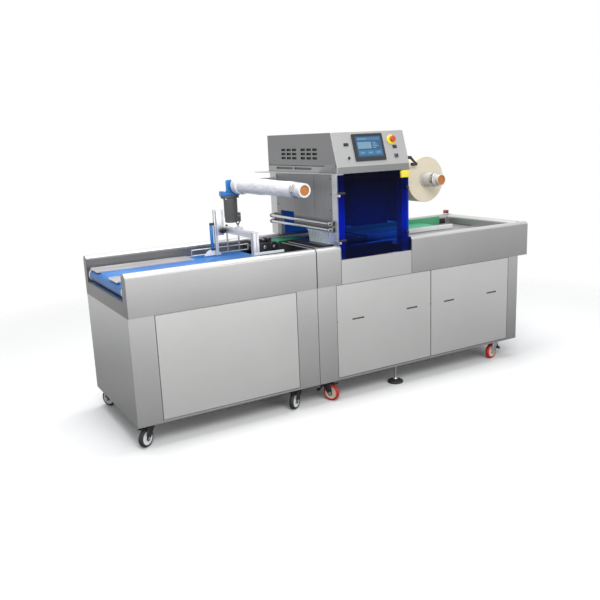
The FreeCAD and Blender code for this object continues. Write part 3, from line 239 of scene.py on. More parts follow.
FINISHES = {
    "steel": finish("steel", (0.47, 0.47, 0.465), (0.50, 0.50, 0.495), (0.33, 0.37), 0.78,
                    (2, 90, 90), 6, 0.03, 2.5),
    # Painted light: a lighter copy of the same steel, for the door panels and the head's posts
    "lit_door_steel": finish("lit_door_steel", (0.59, 0.59, 0.58), (0.62, 0.62, 0.61), (0.33, 0.37), 0.78,
                         (2, 90, 90), 6, 0.03, 2.5),
    # Painted shade: a much darker copy of the steel, with its grain upright, for the head's side walls,
    # the hood's upstand and the rod brackets
    "shaded_wall_steel": finish("shaded_wall_steel", (0.22, 0.22, 0.225), (0.31, 0.31, 0.315), (0.3, 0.4), 0.78,
                         (90, 90, 2), 5, 0.04, 2.5),
    # Painted shade: a slightly darker copy of the steel, for the rims
    "rim_steel_painted_light": finish("rim_steel_painted_light", (0.42, 0.42, 0.415), (0.45, 0.45, 0.445), (0.33, 0.37), 0.78,
                        (2, 90, 90), 6, 0.03, 2.5),
    "dark_steel": finish("dark_steel", (0.10, 0.105, 0.12), (0.15, 0.155, 0.17), (0.3, 0.42), 0.7,
                         (3, 120, 120), 8, 0.05),
    "hood_paint": finish("hood_paint", (0.44, 0.44, 0.44), (0.47, 0.47, 0.47), (0.38, 0.44), 0.5,
                         (2, 2, 2), 300, 0.06),
    "zinc": finish("zinc", (0.48, 0.49, 0.5), (0.62, 0.62, 0.63), (0.25, 0.4), 0.9, scale=200,
                   relief=0.1),
    "aluminium": finish("aluminium", (0.66, 0.67, 0.69), (0.76, 0.77, 0.79), (0.32, 0.42), 0.65,
                        (1, 1, 60), 10, 0.04),
    "chrome": finish("chrome", (0.6, 0.6, 0.62), (0.7, 0.7, 0.72), (0.08, 0.16), 1.0),
    "grey_cover": finish("grey_cover", (0.47, 0.455, 0.465), (0.53, 0.515, 0.525), (0.3, 0.4), 0.5,
                         (2, 100, 100), 8, 0.04),
    "die": finish("die", (0.015, 0.017, 0.022), (0.035, 0.038, 0.046), (0.45, 0.6), 0.3, (60, 2, 60), 8,
                  0.08),
    "motor_grey": finish("motor_grey", (0.10, 0.10, 0.098), (0.14, 0.138, 0.13), (0.45, 0.6), 0.1,
                         scale=400, relief=0.25),
    "white_plastic": finish("white_plastic", (0.76, 0.77, 0.79), (0.86, 0.87, 0.88), (0.35, 0.5),
                            scale=150, relief=0.05),
    "core_card": finish("core_card", (0.50, 0.48, 0.45), (0.60, 0.58, 0.55), (0.5, 0.65), scale=120,
                        relief=0.1),
    "black_plastic": finish("black_plastic", (0.012, 0.012, 0.014), (0.03, 0.03, 0.033), (0.35, 0.5),
                            scale=500, relief=0.15),
    "red": finish("red", (0.52, 0.05, 0.03), (0.66, 0.08, 0.05), (0.25, 0.4), scale=200, relief=0.05),
    "sensor_red": finish("sensor_red", (0.24, 0.07, 0.06), (0.32, 0.10, 0.09), (0.35, 0.5), scale=200,
                         relief=0.05),
    "yellow": finish("yellow", (0.85, 0.66, 0.03), (0.93, 0.76, 0.06), (0.3, 0.42), scale=200,
                     relief=0.05),
    "orange": finish("orange", (0.42, 0.15, 0.03), (0.54, 0.21, 0.05), (0.35, 0.5), scale=250,
                     relief=0.1),
    "tyre_black": finish("tyre_black", (0.015, 0.015, 0.015), (0.035, 0.035, 0.035), (0.5, 0.7),
                         scale=400, relief=0.3),
    "tyre_red": finish("tyre_red", (0.42, 0.015, 0.015), (0.58, 0.03, 0.03), (0.25, 0.4), scale=200,
                       relief=0.08),
    "cream_hub": finish("cream_hub", (0.66, 0.55, 0.42), (0.74, 0.64, 0.5), (0.35, 0.5), scale=250,
                        relief=0.1),
    "rubber": finish("rubber", (0.012, 0.012, 0.012), (0.03, 0.03, 0.03), (0.55, 0.7), scale=400,
                     relief=0.3),
    "motor_blue": finish("motor_blue", (0.02, 0.16, 0.5), (0.05, 0.27, 0.66), (0.25, 0.35), 0.3,
                         scale=300, relief=0.1),
    "blue_belt": belt_finish("blue_belt", (0.006, 0.13, 0.46), (0.02, 0.22, 0.62), 500),
    "green_belt": belt_finish("green_belt", (0.015, 0.27, 0.12), (0.04, 0.36, 0.18), 500),
    "green_plastic": finish("green_plastic", (0.07, 0.36, 0.17), (0.11, 0.44, 0.23), (0.3, 0.45),
                            scale=150,
                            relief=0.05),
    "white_film": finish("white_film", (0.80, 0.80, 0.82), (0.88, 0.88, 0.89), (0.22, 0.4),
                         stretch=(1, 0.4, 1), scale=60, relief=0.5),
    "cream_film": ringed_finish("cream_film", (0.68, 0.60, 0.45), (0.78, 0.71, 0.56), SUPPLY,
                                160),
    # Painted light: the tray's plastic glows faintly though it is no lamp, to brighten it in the head's
    # shade
    "tray_plastic": finish("tray_plastic", (0.86, 0.90, 0.92), (0.92, 0.95, 0.96), (0.2, 0.3),
                           scale=80, relief=0.03, Transmission_Weight=0.05,
                           Emission_Color=(0.8, 0.92, 1.0, 1), Emission_Strength=0.16),
}
# Painted shade and painted light: the hood's sides and lip, its slot walls, the rims' left ends, seams
# and the rear rim's inner face, the grip recesses and the end face under the belt are painted darker, the
# hood's skirt and the rims' tops lighter, and the rims and cabinet steel fade with painted light
SLOPE_AIM = (0, math.cos(LEAN), -math.sin(LEAN))
# Painted shade: the hood's sides and lip, behind the sloping face's plane, are painted half as dark
shade_within(FINISHES["hood_paint"],
             [(SLOPE_AIM, at((0, 20, 1379)).dot(Vector(SLOPE_AIM)) + 0.0015, 9)], 0.5)
# Painted light: the hood's left skirt is painted lighter, taking back part of the painted side shade
shade_within(FINISHES["hood_paint"], [slab("x", 1271, 1278), slab("z", 1343, 1377.5)], 1.55)
# Painted shade: the walls inside the hood's vent slots are painted nearly black
shade_within(FINISHES["hood_paint"], [slab("x", 1272.7, 1786.3), slab("y", 225, 665), slab("z", 1412,
                                                                                           1486)],
             0.08)
# Painted shade: the rims' left end faces are painted darker
shade_within(FINISHES["rim_steel_painted_light"], [slab("x", -9, 2.5), slab("z", 600, 931)], 0.42)
# Painted shade: the door panels' grip recesses are painted darker
for recess in ((4.7, 12.6), (787.4, 795.3)):
    shade_within(FINISHES["lit_door_steel"], [slab("y", *recess), slab("z", 479.5, 489.6)], 0.28)
# Painted shadow: dark bands on the rims beside their joints, shadow lines between the parts
for seam in ((1099.5, 1107.5), (1268, 1273), (1786, 1790.5)):
    shade_within(FINISHES["rim_steel_painted_light"], [slab("x", *seam)], 0.35)
# Painted shade: the rear rim's inner face is painted darker
shade_within(FINISHES["rim_steel_painted_light"], [slab("y", 735, 742.5), slab("z", 780, 928)], 0.4)
# Painted highlight: the rims' rounded tops are painted lighter
shade_within(FINISHES["rim_steel_painted_light"], [slab("z", 916, 990)], 1.6)
# Painted light: the rims grow darker towards the right and towards the bottom
fade_along(FINISHES["rim_steel_painted_light"], "x", 1100, 2791, 1.0, 0.84)
fade_along(FINISHES["rim_steel_painted_light"], "z", 705, 915, 0.86, 1.05)
# Painted light: the cabinet steel grows darker towards the bottom and towards the right
fade_along(FINISHES["steel"], "z", 125, 700, 0.8, 1.06)
fade_along(FINISHES["steel"], "x", 1100, 2791, 1.0, 0.9)
# Painted shade: the left end face below the belt's nose is painted darker
shade_within(FINISHES["steel"], [slab("x", -9, 2.5), slab("z", 704, 870)], 0.33)
# Painted shade: the tray is painted darker between its ribs
paint_rib_shade(FINISHES["tray_plastic"], 18.5, 0.35)
ACRYLIC = finish("blue_acrylic", (0.004, 0.065, 0.52), (0.005, 0.07, 0.56), (0.02, 0.04), IOR=1.15,
                 Specular_IOR_Level=0.06, Transmission_Weight=0.97)
# Painted shade: the front guard's sheet is painted darker towards its top and its foot, and a little
# lighter between, for the dark inside seen through it
fade_along(ACRYLIC, "z", 1070, 1290, 1.3, 0.36)
fade_along(ACRYLIC, "z", 890, 1010, 0.5, 1.0)
FINISHES["blue_acrylic"] = ACRYLIC
FINISHES["dark_acrylic"], _, _ = shader("dark_acrylic", Base_Color=(0.003, 0.03, 0.16, 1),
                                        Roughness=0.05,
                                        IOR=1.15, Specular_IOR_Level=0.1, Transmission_Weight=0.95)
SCREEN_BEZEL = finish("screen", (0.018, 0.02, 0.023), (0.026, 0.029, 0.033), (0.25, 0.32), scale=300,
                      relief=0.05)
FINISHES["screen"] = SCREEN_BEZEL


def glow(name, colour, strength):
    mat, tree, bsdf = shader(name, Roughness=0.12, Base_Color=(*[c * 0.4 for c in colour], 1),
                             Emission_Color=(*colour, 1), Emission_Strength=strength)
    cloud = noise_at(tree, coords(tree, (1, 1, 1)), 12)
    tree.links.new(blend_colours(tree, spread(tree, cloud, 0, 1), [c * 0.9 for c in colour], colour),
                   bsdf.inputs["Emission Color"])
    return mat


FINISHES["screen_field"] = glow("screen_field", (0.03, 0.10, 0.20), 0.7)
FINISHES["screen_block"] = glow("screen_block", (0.05, 0.17, 0.33), 0.7)
FINISHES["screen_light"] = glow("screen_light", (0.17, 0.31, 0.42), 0.7)


# Shapes


class Piece:
    """Shapes in machine millimetres that make one named piece with one finish."""

    made = []

    def __init__(self, name, look, body="machine", replaces=(), slot=""):
        self.name, self.look, self.body, self.replaces = name, look, body, replaces
        self.slot = slot
        self.bm = bmesh.new()
        self.turn = Matrix.Identity(4)
        Piece.made.append(self)

    def add(self, shape):
        shape.transform(self.turn)
        part = bpy.data.meshes.new("part")
        shape.to_mesh(part)
        shape.free()
        self.bm.from_mesh(part)
        bpy.data.meshes.remove(part)

    def box(self, x, y, z, edge=1.0, steps=2):
        shape = bmesh.new()
        bmesh.ops.create_cube(shape, size=1)
        size = Vector((x[1] - x[0], y[1] - y[0], z[1] - z[0]))
        middle = Vector((x[0] + x[1], y[0] + y[1], z[0] + z[1])) / 2
        for v in shape.verts:
            v.co = Vector(v.co[i] * size[i] for i in range(3)) + middle
        if edge:
            bmesh.ops.bevel(shape, geom=shape.edges[:], offset=min(edge, min(size) * 0.45),
                            segments=steps, profile=0.5, affect="EDGES", clamp_overlap=True)
        self.add(shape)

    def turned(self, axis, centre, profile, steps=48, ring=False):
        """A turned shape from (radius, distance along the axis) pairs; a ring closes on itself."""
        shape = bmesh.new()
        aim = Vector(AXES[axis] if isinstance(axis, str) else axis).normalized()
        side = aim.orthogonal().normalized()
        up = aim.cross(side)
        centre = Vector(centre)
        loops = []
        for radius, along in profile:
            base = centre + aim * along
            if radius <= 0:
                loops.append([shape.verts.new(base)])
                continue
            loops.append([
                shape.verts.new(base + (side * math.cos(t) + up * math.sin(t)) * radius)
                for t in (k * math.tau / steps for k in range(steps))
            ])
        pairs = list(zip(loops, loops[1:]))
        if ring:
            pairs.append((loops[-1], loops[0]))
        for low, high in pairs:
            for k in range(steps):
                n = (k + 1) % steps
                corners = [low[k % len(low)], low[n % len(low)], high[n % len(high)],
                           high[k % len(high)]]
                corners = list(dict.fromkeys(corners))
                if len(corners) > 2:
                    shape.faces.new(corners)
        if not ring:
            for loop in (loops[0], loops[-1]):
                if len(loop) > 2:
                    shape.faces.new(loop)
        bmesh.ops.recalc_face_normals(shape, faces=shape.faces[:])
        self.add(shape)

    def rod(self, axis, centre, radius, length, edge=0.6, steps=24):
        e = min(edge, radius * 0.4, length * 0.4)
        self.turned(axis, centre, [(radius - e, 0), (radius, e), (radius, length - e),
                                   (radius - e, length)], steps)

    def hexagon(self, axis, centre, radius, length):
        self.rod(axis, centre, radius, length, 0.5, 6)

    def plate(self, outline, axis, low, high, edge=0.5):
        """An outline in the plane across one axis, between two distances along it."""
        shape = bmesh.new()
        order = {"x": (2, 0, 1), "y": (0, 2, 1), "z": (0, 1, 2)}[axis]
        corners = [shape.verts.new([(p[0], p[1], low)[i] for i in order]) for p in outline]
        face = shape.faces.new(corners)
        grown = bmesh.ops.extrude_face_region(shape, geom=[face])["geom"]
        move = [0, 0, 0]
        move["xyz".index(axis)] = high - low
        tops = [g for g in grown if isinstance(g, bmesh.types.BMVert)]
        bmesh.ops.translate(shape, vec=move, verts=tops)
        bmesh.ops.recalc_face_normals(shape, faces=shape.faces[:])
        if edge:
            caps = [f for f in shape.faces if len(f.verts) == len(outline)]
            rims = {e for f in caps for e in f.edges}
            bmesh.ops.bevel(shape, geom=list(rims), offset=edge, segments=2, profile=0.5,
                            affect="EDGES", clamp_overlap=True)
        self.add(shape)

    def tube(self, points, radius, steps=12):
        """A round bar that follows points, with its ends closed."""
        shape = bmesh.new()
        points = [Vector(p) for p in points]
        loops = []
        side = None
        for k, point in enumerate(points):
            ahead = points[min(k + 1, len(points) - 1)] - points[max(k - 1, 0)]
            ahead.normalize()
            if side is None:
                side = ahead.orthogonal().normalized()
            side = (side - ahead * side.dot(ahead)).normalized()
            up = ahead.cross(side)
            loops.append([
                shape.verts.new(point + (side * math.cos(t) + up * math.sin(t)) * radius)
                for t in (n * math.tau / steps for n in range(steps))
            ])
        for low, high in zip(loops, loops[1:]):
            for k in range(steps):
                n = (k + 1) % steps
                shape.faces.new((low[k], low[n], high[n], high[k]))
        shape.faces.new(loops[0])
        shape.faces.new(loops[-1])
        bmesh.ops.recalc_face_normals(shape, faces=shape.faces[:])
        self.add(shape)

    def profile(self, axis, corner, side, low, high):
        """A slotted square profile bar: corner is its lowest corner in the plane across the axis."""
        a, b = corner
        half, lip, deep = side / 2, side * 0.12, side * 0.16
        quarter = [(half, -half), (half, -lip), (half - deep, -lip), (half - deep, lip), (half, lip)]
        points = []
        for k in range(4):
            c, s = (1, 0, -1, 0)[k], (0, 1, 0, -1)[k]
            points += [(a + half + u * c - v * s, b + half + u * s + v * c) for u, v in quarter]
        self.plate(points, axis, low, high, 0)

    def loft(self, loops, ring=True):
        """A surface through closed loops of as many points each; a ring joins the last to the first."""
        shape = bmesh.new()
        made = [[shape.verts.new(p) for p in loop] for loop in loops]
        count = len(loops[0])
        pairs = list(zip(made, made[1:]))
        if ring:
            pairs.append((made[-1], made[0]))
        for near, far in pairs:
            for k in range(count):
                n = (k + 1) % count
                shape.faces.new((near[k], near[n], far[n], far[k]))
        bmesh.ops.recalc_face_normals(shape, faces=shape.faces[:])
        self.add(shape)

    def band(self, outer, inner, axis, low, high):
        """A closed frame between two outlines with as many points each."""
        order = {"x": (2, 0, 1), "y": (0, 2, 1), "z": (0, 1, 2)}[axis]
        self.loft([
            [[(p[0], p[1], level)[i] for i in order] for p in outline]
            for outline, level in ((outer, low), (outer, high), (inner, high), (inner, low))
        ])

    def skin(self, centre, start, end, radius_at, rows, steps):
        """A wound surface along y whose radius changes from point to point, with closed ends."""
        shape = bmesh.new()
        loops = []
        for r in range(rows + 1):
            y = start + (end - start) * r / rows
            loops.append([
                shape.verts.new((centre[0] + radius_at(y, t) * math.cos(t), y,
                                 centre[2] + radius_at(y, t) * math.sin(t)))
                for t in (k * math.tau / steps for k in range(steps))
            ])
        for near, far in zip(loops, loops[1:]):
            for k in range(steps):
                n = (k + 1) % steps
                shape.faces.new((near[k], near[n], far[n], far[k]))
        shape.faces.new(loops[0])
        shape.faces.new(loops[-1])
        bmesh.ops.recalc_face_normals(shape, faces=shape.faces[:])
        self.add(shape)

    def done(self):
        for v in self.bm.verts:
            v.co = at(v.co)
        mesh = bpy.data.meshes.new(self.name)
        self.bm.to_mesh(mesh)
        self.bm.free()
        mesh.shade_smooth()
        mesh.set_sharp_from_angle(angle=math.radians(32))
        mesh.materials.append(FINISHES[self.look])
        thing = bpy.data.objects.new(self.name, mesh)
        bpy.context.scene.collection.objects.link(thing)
        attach(thing, self.body)
        if self.replaces:
            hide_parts(*self.replaces)
        return thing


def arc(centre, radius, start, end, steps=8):
    """Points on an arc, with its angles in degrees."""
    return [
        (centre[0] + radius * math.cos(math.radians(start + (end - start) * k / steps)),
         centre[1] + radius * math.sin(math.radians(start + (end - start) * k / steps)))
        for k in range(steps + 1)
    ]


def round_outline(x, y, radius, steps=5):
    """A rectangle's outline with round corners."""
    (x0, x1), (y0, y1) = x, y
    return (arc((x1 - radius, y1 - radius), radius, 0, 90, steps)
            + arc((x0 + radius, y1 - radius), radius, 90, 180, steps)
            + arc((x0 + radius, y0 + radius), radius, 180, 270, steps)
            + arc((x1 - radius, y0 + radius), radius, 270, 360, steps))


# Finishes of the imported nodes, and small rounds on the sheet edges
SLOT_OF = {row["node"]: row["material_slot"] for row in frame["record"]["subparts"]}
SHEET_METAL = {"infeed_cabinet", "infeed_panels", "sealer_cabinet", "sealer_panels",
               "centre_front_panel",
               "head_posts", "hood", "outfeed_guides", "reel_arms", "guide_covers", "front_guide_rail",
               "tray_table", "green_belts"}
LOOK_OF = {"infeed_panels": "lit_door_steel", "sealer_panels": "lit_door_steel", "head_posts": "lit_door_steel",
           "side_walls": "shaded_wall_steel", "infeed_rims": "rim_steel_painted_light", "sealer_front_rims": "rim_steel_painted_light",
           "outfeed_end_rim": "rim_steel_painted_light", "outfeed_deck": "rim_steel_painted_light", "rear_guard": "dark_acrylic"}
for key, node in NODES.items():
    node.data.materials.clear()
    node.data.materials.append(FINISHES[LOOK_OF.get(key, SLOT_OF[key])])
    if key in SHEET_METAL:
        weld = node.modifiers.new("weld", "WELD")
        weld.merge_threshold = 0.00002
        rounds = node.modifiers.new("rounds", "BEVEL")
        rounds.width = 0.0012
        rounds.segments = 2
        rounds.limit_method = "ANGLE"
        rounds.angle_limit = math.radians(40)
        rounds.harden_normals = True


HEAD_LEFT = 1272


# Operator panel: its shapes are written as (along, up, outwards) from the lower left of the sloping face
SLOPE = Matrix.Translation((HEAD_LEFT, 20, 1379)) @ Matrix((
    (1, 0, 0), (0, math.sin(LEAN), math.cos(LEAN)), (0, -math.cos(LEAN), math.sin(LEAN)),
)).transposed().to_4x4()


def on_panel(name, look, **more):
    piece = Piece(name, look, **more)
    piece.turn = SLOPE
    return piece


p = on_panel("hmi_bezel", "screen", replaces=["control_screen"])
p.plate(round_outline((136, 351), (22, 183), 5), "z", 0, 5.2, 0.8)
p.band(round_outline((136, 351), (22, 183), 5), round_outline((157, 338), (46, 168), 2), "z", 5, 7)
p = on_panel("hmi_field", "screen_field")
p.box((157.5, 337.5), (46.5, 167.5), (5.0, 5.6), 0)
p = on_panel("hmi_blocks", "screen_block")
p.box((166, 329), (143, 161), (5.5, 5.8), 0)
for k in range(3):
    p.box((166 + 56 * k, 217 + 56 * k), (56, 84), (5.5, 5.8), 0)
p = on_panel("hmi_lights", "screen_light")
p.box((172, 232), (149, 155), (5.7, 6.0), 0)
p.box((166, 262), (94, 134), (5.5, 5.8), 0)
for k in range(4):
    p.box((272, 272 + 22 + 9 * ((k * 2) % 3)), (96 + 10 * k, 101 + 10 * k), (5.5, 5.9), 0)
for k in range(3):
    p.box((178 + 56 * k, 205 + 56 * k), (67, 73), (5.7, 6.0), 0)

p = on_panel("stop_plate_ring", "yellow", replaces=["stop_plate"])
p.turned("z", STOP, [(12, 0), (30, 0), (30, 4.5), (28.5, 6), (23, 6.8), (22, 8), (12, 8)], ring=True)
p = on_panel("stop_head", "red", body="stop_button", replaces=["stop_button"])
p.turned("z", STOP, [(11, 17), (15, 17.2), (18.2, 18.5), (19, 20), (19, 22.5), (17, 25), (11, 26.6),
        (0, 27)])
p = on_panel("stop_stem", "black_plastic", body="stop_button")
p.turned("z", STOP, [(10.9, 5.3), (10.9, 17.5)])

p = on_panel("panel_buttons_black", "black_plastic", replaces=["panel_buttons"])
p.plate(round_outline((418, 444), (32, 56), 4), "z", 0, 5, 1)
p.turned("z", (431, 44, 5), [(9, 0), (9, 3), (7.5, 4.2), (0, 4.6)])
p.turned("z", (90, 44, 0), [(9.4, 0), (9.4, 6.5), (7, 8.5), (0, 9)])
p.plate(round_outline((74, 106), (115, 133), 3), "z", 0, 3.5, 1)
p.plate(round_outline((79, 96), (118.5, 129.5), 2), "z", 3, 6.5, 1)
p.plate(round_outline((417, 447), (89, 109), 2), "z", 0, 1.9, 0.4)
p = on_panel("panel_button_rings", "zinc")
p.turned("z", (90, 44, 0), [(9.5, 0), (13, 0), (13, 2.5), (12, 4), (10.2, 4.4), (9.5, 4.4)], ring=True)
p.turned("z", (431, 44, 4.9), [(9.1, 0), (10.6, 0), (10.6, 1.6), (9.1, 1.8)], ring=True)

# Hood: dark plates behind the slots, painted shade where the slots show the dark inside, then seams and
# the upstand at the foot of its left side
p = Piece("vent_shade_backs", "rubber")
for x in ((1278.8, 1279.8), (1779.2, 1780.2)):
    for column in range(6):
        y = 658 - 52 - 68 * column - (36 if column > 2 else 0)
        for tier in range(3):
            p.box(x, (y + 0.5, y + 51.5), (1417.5 + 25 * tier, 1430.5 + 25 * tier), 0)
# Painted shade: dark plates behind the slots in the hood's lip
p = Piece("lip_slot_shade_backs", "dark_steel")
for x in ((1278.8, 1279.8), (1779.2, 1780.2)):
    for y in (522, 297):
        p.box(x, (y + 0.5, y + 209.5), (1355.5, 1368.5), 0)
p = Piece("hood_seams", "rubber")
for x in ((1271.8, 1272.3), (1786.7, 1787.2)):
    p.box(x, (24, 838), (1377, 1381.5), 0)
p.box((1274, 1785), (839.8, 840.2), (1378.6, 1380.2), 0)
p = Piece("hood_upstand", "shaded_wall_steel", slot="steel")
p.plate([(33, 1344), (33, 1393), (60, 1393), (120, 1388), (170, 1375), (213, 1347), (213, 1344)], "x",
        1269, 1272.2)
p.rod("x", (1264, 60, 1368), 5, 6)

# Head: screws that hold the side walls to the posts
p = Piece("wall_seams", "rubber")
for x in ((1271.6, 1272.2), (1786.8, 1787.4)):
    p.box(x, (275.2, 276.8), (1012, 1334), 0)
p = Piece("wall_screws", "dark_steel")
for x, way in ((1271.6, -1), (1787.4, 1)):
    for z in (1040, 1130, 1220, 1310):
        for y in (96, 732):
            p.turned(Vector((way, 0, 0)), (x, y, z), [(5, -0.4), (5, 1.2), (3.4, 2.6), (0, 2.9)], 20)

# Front guard: hinge leaves, screws through the sheet and the switch's actuator
p = Piece("guard_hinges", "rubber", body="guard", replaces=["guard_hardware"])
for z in (955.3, 1224.3):
    p.turned("z", (1265, -6, z), [(3.3, 0), (6, 0), (6.5, 0.5), (6.5, 11.5), (6, 12), (3.3, 12)], 32,
            ring=True)
    p.box((1265, 1304), (-12.4, -7), (z + 0.2, z + 11.8), 1)
    p.box((1291, 1304), (-8, 18.8), (z + 0.2, z + 11.8), 1)
p = Piece("guard_screws", "black_plastic", body="guard")
for z in (961, 1230):
    p.turned("-y", (1770, 19.2, z), [(10, 0), (10, 3), (8, 6), (7, 12), (5, 14), (0, 14.2)], 24)
p = Piece("guard_bolts", "rubber", body="guard")
for z in (961, 1230):
    p.hexagon("y", (1297.5, -13.6, z), 4, 3)
    p.rod("y", (1297.5, 25, z), 6, 3)
    p.rod("y", (1770, 25, z), 8, 3)
p = Piece("guard_actuator", "yellow", body="guard")
p.box((1717, 1781), (3, 19.2), (1291, 1331), 2.5, 3)
p = Piece("guard_actuator_screws", "zinc", body="guard")
for x in (1728, 1770):
    p.turned("-y", (x, 3.2, 1311), [(4, 0), (4, 1), (2.8, 2.2), (0, 2.4)], 20)

# Film guide rods, one above the other, and their end brackets on the posts
RODS = [(1240, 1054), (1240, 1018)]
p = Piece("film_guide_rods", "chrome", replaces=["film_rods"])
for x, z in RODS:
    p.rod("y", (x, 68, z), 9, 702, 0.8, 40)
p = Piece("film_rod_brackets", "shaded_wall_steel", slot="steel")
q = Piece("film_rod_screws", "black_plastic")
for y in (62, 766):
    for x, z in RODS:
        p.plate(arc((x, z), 13, 90, 270, 16) + [(1272, z - 13), (1272, z + 13)], "y", y, y + 10, 1)
    p.box((1262, 1272), (y, y + 10), (1000, 1072), 1)
for x, z in RODS:
    q.turned("-y", (x, 62.4, z), [(6, 0), (6, 3), (4.6, 4.6), (0, 4.8)], 24)
    q.turned("y", (x, 775.6, z), [(6, 0), (6, 3), (4.6, 4.6), (0, 4.8)], 24)

# Both reels: the orange cap's profile, and the dark studs round a clamp
REEL_CAP = [(0, -46.5), (9, -46.5), (10, -45), (22, -45), (24, -48.6), (27, -49.6), (28.6, -48),
            (28.6, -40)]


def clamp_slots(name, body, centre, reach, radius, depth):
    piece = Piece(name, "rubber", body=body)
    for k in range(6):
        t = math.tau * (k + 0.25) / 6
        aim = Vector((math.cos(t), 0, math.sin(t)))
        piece.rod(aim, Vector(centre) + aim * reach, radius, depth, 0.3, 20)


# Rewind reel: wrinkled film between a flange and a clamp ring, on a core with an orange cap
p = Piece("rewind_film", "white_film", body="rewind_reel", replaces=["rewind_reel"])


def wrinkled(y, angle):
    across = Vector((y * 0.009, math.cos(angle) * 1.3, math.sin(angle) * 1.3))
    fine = Vector((y * 0.03, math.cos(angle) * 3.5, math.sin(angle) * 3.5))
    ends = min(1, (y - 52) / 25, (706 - y) / 25)
    swell = 5 * (y - 52) / 654
    return 43.5 + max(0, ends) * (swell + 2.6 * noise.noise(across) + 1.5 * noise.noise(fine))


p.skin(REWIND, 52, 706, wrinkled, 130, 96)
p = Piece("rewind_core", "white_plastic", body="rewind_reel")
p.turned("y", REWIND, [(28.8, -39), (28.8, -49), (37, -50), (38.5, -48.5), (38.5, -12), (37.5, -10),
        (37.5, 60), (40, 62), (40, 700)])
p.turned("y", REWIND, [(40, 714), (54, 716), (58, 719), (58, 774), (55, 778), (12, 778)])
p.turned("y", REWIND, [(40, 699), (43, 700), (43, 715), (40, 716)])
p = Piece("rewind_clamp", "zinc", body="rewind_reel")
p.turned("y", REWIND, [(37.6, -6), (41, -5), (42, -2), (42, 40), (44, 44), (44, 50), (37.6, 51)], 64,
        ring=True)
clamp_slots("rewind_clamp_slots", "rewind_reel", (1014, 22, 1268), 41, 5, 1.6)
p = Piece("rewind_cap", "orange", body="rewind_reel")
p.turned("y", REWIND, REEL_CAP)
p = Piece("rewind_shaft", "chrome", body="rewind_reel")
p.rod("y", (1014, 777, 1268), 11.9, 40, 1, 32)

# Supply reel: a full roll of film on a mandrel of the same kind
p = Piece("supply_film", "cream_film", body="supply_reel", replaces=["supply_reel"])
p.turned("y", SUPPLY, [(39, 99), (60, 97.5), (100, 96), (138, 95), (140, 97), (140, 699), (138, 700),
        (39, 700)], 128)
p = Piece("supply_core", "core_card", body="supply_reel", slot="white_plastic")
p.turned("y", SUPPLY, [(28.8, -39), (28.8, -49), (31, -50), (32, -48.5), (32, -22), (37.5, -18),
        (37.5, 24), (38, 25)])
p.turned("y", SUPPLY, [(36, 24), (41, 24), (42, 26), (43, 96), (36, 98)])
p.turned("y", SUPPLY, [(42, 88), (46, 88), (48, 90), (48, 99), (42, 99)], 64, ring=True)
p.turned("y", SUPPLY, [(40, 700), (56, 701), (58, 703), (58, 706), (56, 708), (12, 708)])
for y in (34, 42, 50, 58):
    p.turned("y", (1980, y, 1262), [(41.8, 0), (43.4, 0.8), (43.4, 3.4), (41.8, 4.2)], 64, ring=True)
p = Piece("supply_clamp", "zinc", body="supply_reel")
p.turned("y", SUPPLY, [(37.6, -12), (40.5, -11), (41.5, -8), (41.5, 18), (40, 22), (37.6, 23)], 64,
        ring=True)
clamp_slots("supply_clamp_slots", "supply_reel", (1980, 4, 1262), 40.6, 6, 1.5)
p = Piece("supply_cap", "orange", body="supply_reel")
p.turned("y", SUPPLY, REEL_CAP)
p = Piece("supply_shaft", "chrome", body="supply_reel")
p.rod("y", (1980, 707, 1262), 11.9, 32, 1, 32)

# Bearings on the reel arms
p = Piece("arm_bearings", "zinc")
for x, z, y in ((1014, 1268, 784), (1980, 1262, 714)):
    for face, way in ((y, -1), (y + 22, 1)):
        if face == 806:
            continue
        p.turned("y", (x, face - (2.5 if way < 0 else 0), z), [(12.4, 0), (24, 0), (24, 2.5),
                (12.4, 2.5)], 40, ring=True)
p = Piece("arm_bolts", "zinc")
for x0, z, y in ((1240, 1268, 784), (1819, 1262, 714)):
    for dz in (-18, 18):
        p.hexagon("y", (x0, y - 4, z + dz), 7, 4.2)

# Gear motor behind the rewind arm
p = Piece("motor_can", "motor_grey", replaces=["rewind_gearmotor"])
p.turned("z", (978, 837, 0), [(0, 1028), (36, 1028), (41, 1031), (42, 1036), (42, 1060), (44, 1064),
        (44, 1168), (45, 1172), (45, 1184), (0, 1184)], 64)
for k in range(16):
    t = math.tau * k / 16
    p.box((978 + 41.5 * math.cos(t) - 1.4, 978 + 41.5 * math.cos(t) + 1.4),
            (837 + 41.5 * math.sin(t) - 1.4, 837 + 41.5 * math.sin(t) + 1.4), (1066, 1166), 0.5, 1)
p.plate(round_outline((1006, 1040), (820, 854), 5), "z", 1030, 1088, 2)
p.box((929, 1027), (806, 881.5), (1184, 1200), 3, 3)
p = Piece("motor_bolts", "chrome")
for x in (938, 1018):
    for y in (816, 872):
        p.hexagon("z", (x, y, 1178), 5, 6.5)
p.rod("y", (1023, 816.5, 1066), 5, 4, 1, 20)
p = Piece("gearbox", "motor_blue")
p.plate(round_outline((918, 1038), (808, 880), 10), "z", 1200, 1230, 2)
p.plate(round_outline((941, 1065), (1222, 1302), 9), "y", 806.2, 814, 1)
p.turned("y", REWIND, [(12.4, 814), (31, 814), (31, 826), (27, 830), (12.4, 830)], 48, ring=True)
p.plate(arc((1000, 1262), 36, -40, 220, 20) + [(960, 1229), (1040, 1229)], "y", 812, 860, 2)
p = Piece("gearbox_bolts", "chrome")
for x in (952, 1054):
    for z in (1240, 1292):
        p.hexagon("y", (x, 813.6, z), 5, 4)
for x in (930, 1026):
    for y in (816, 872):
        p.hexagon("z", (x, y, 1229.6), 5, 4)

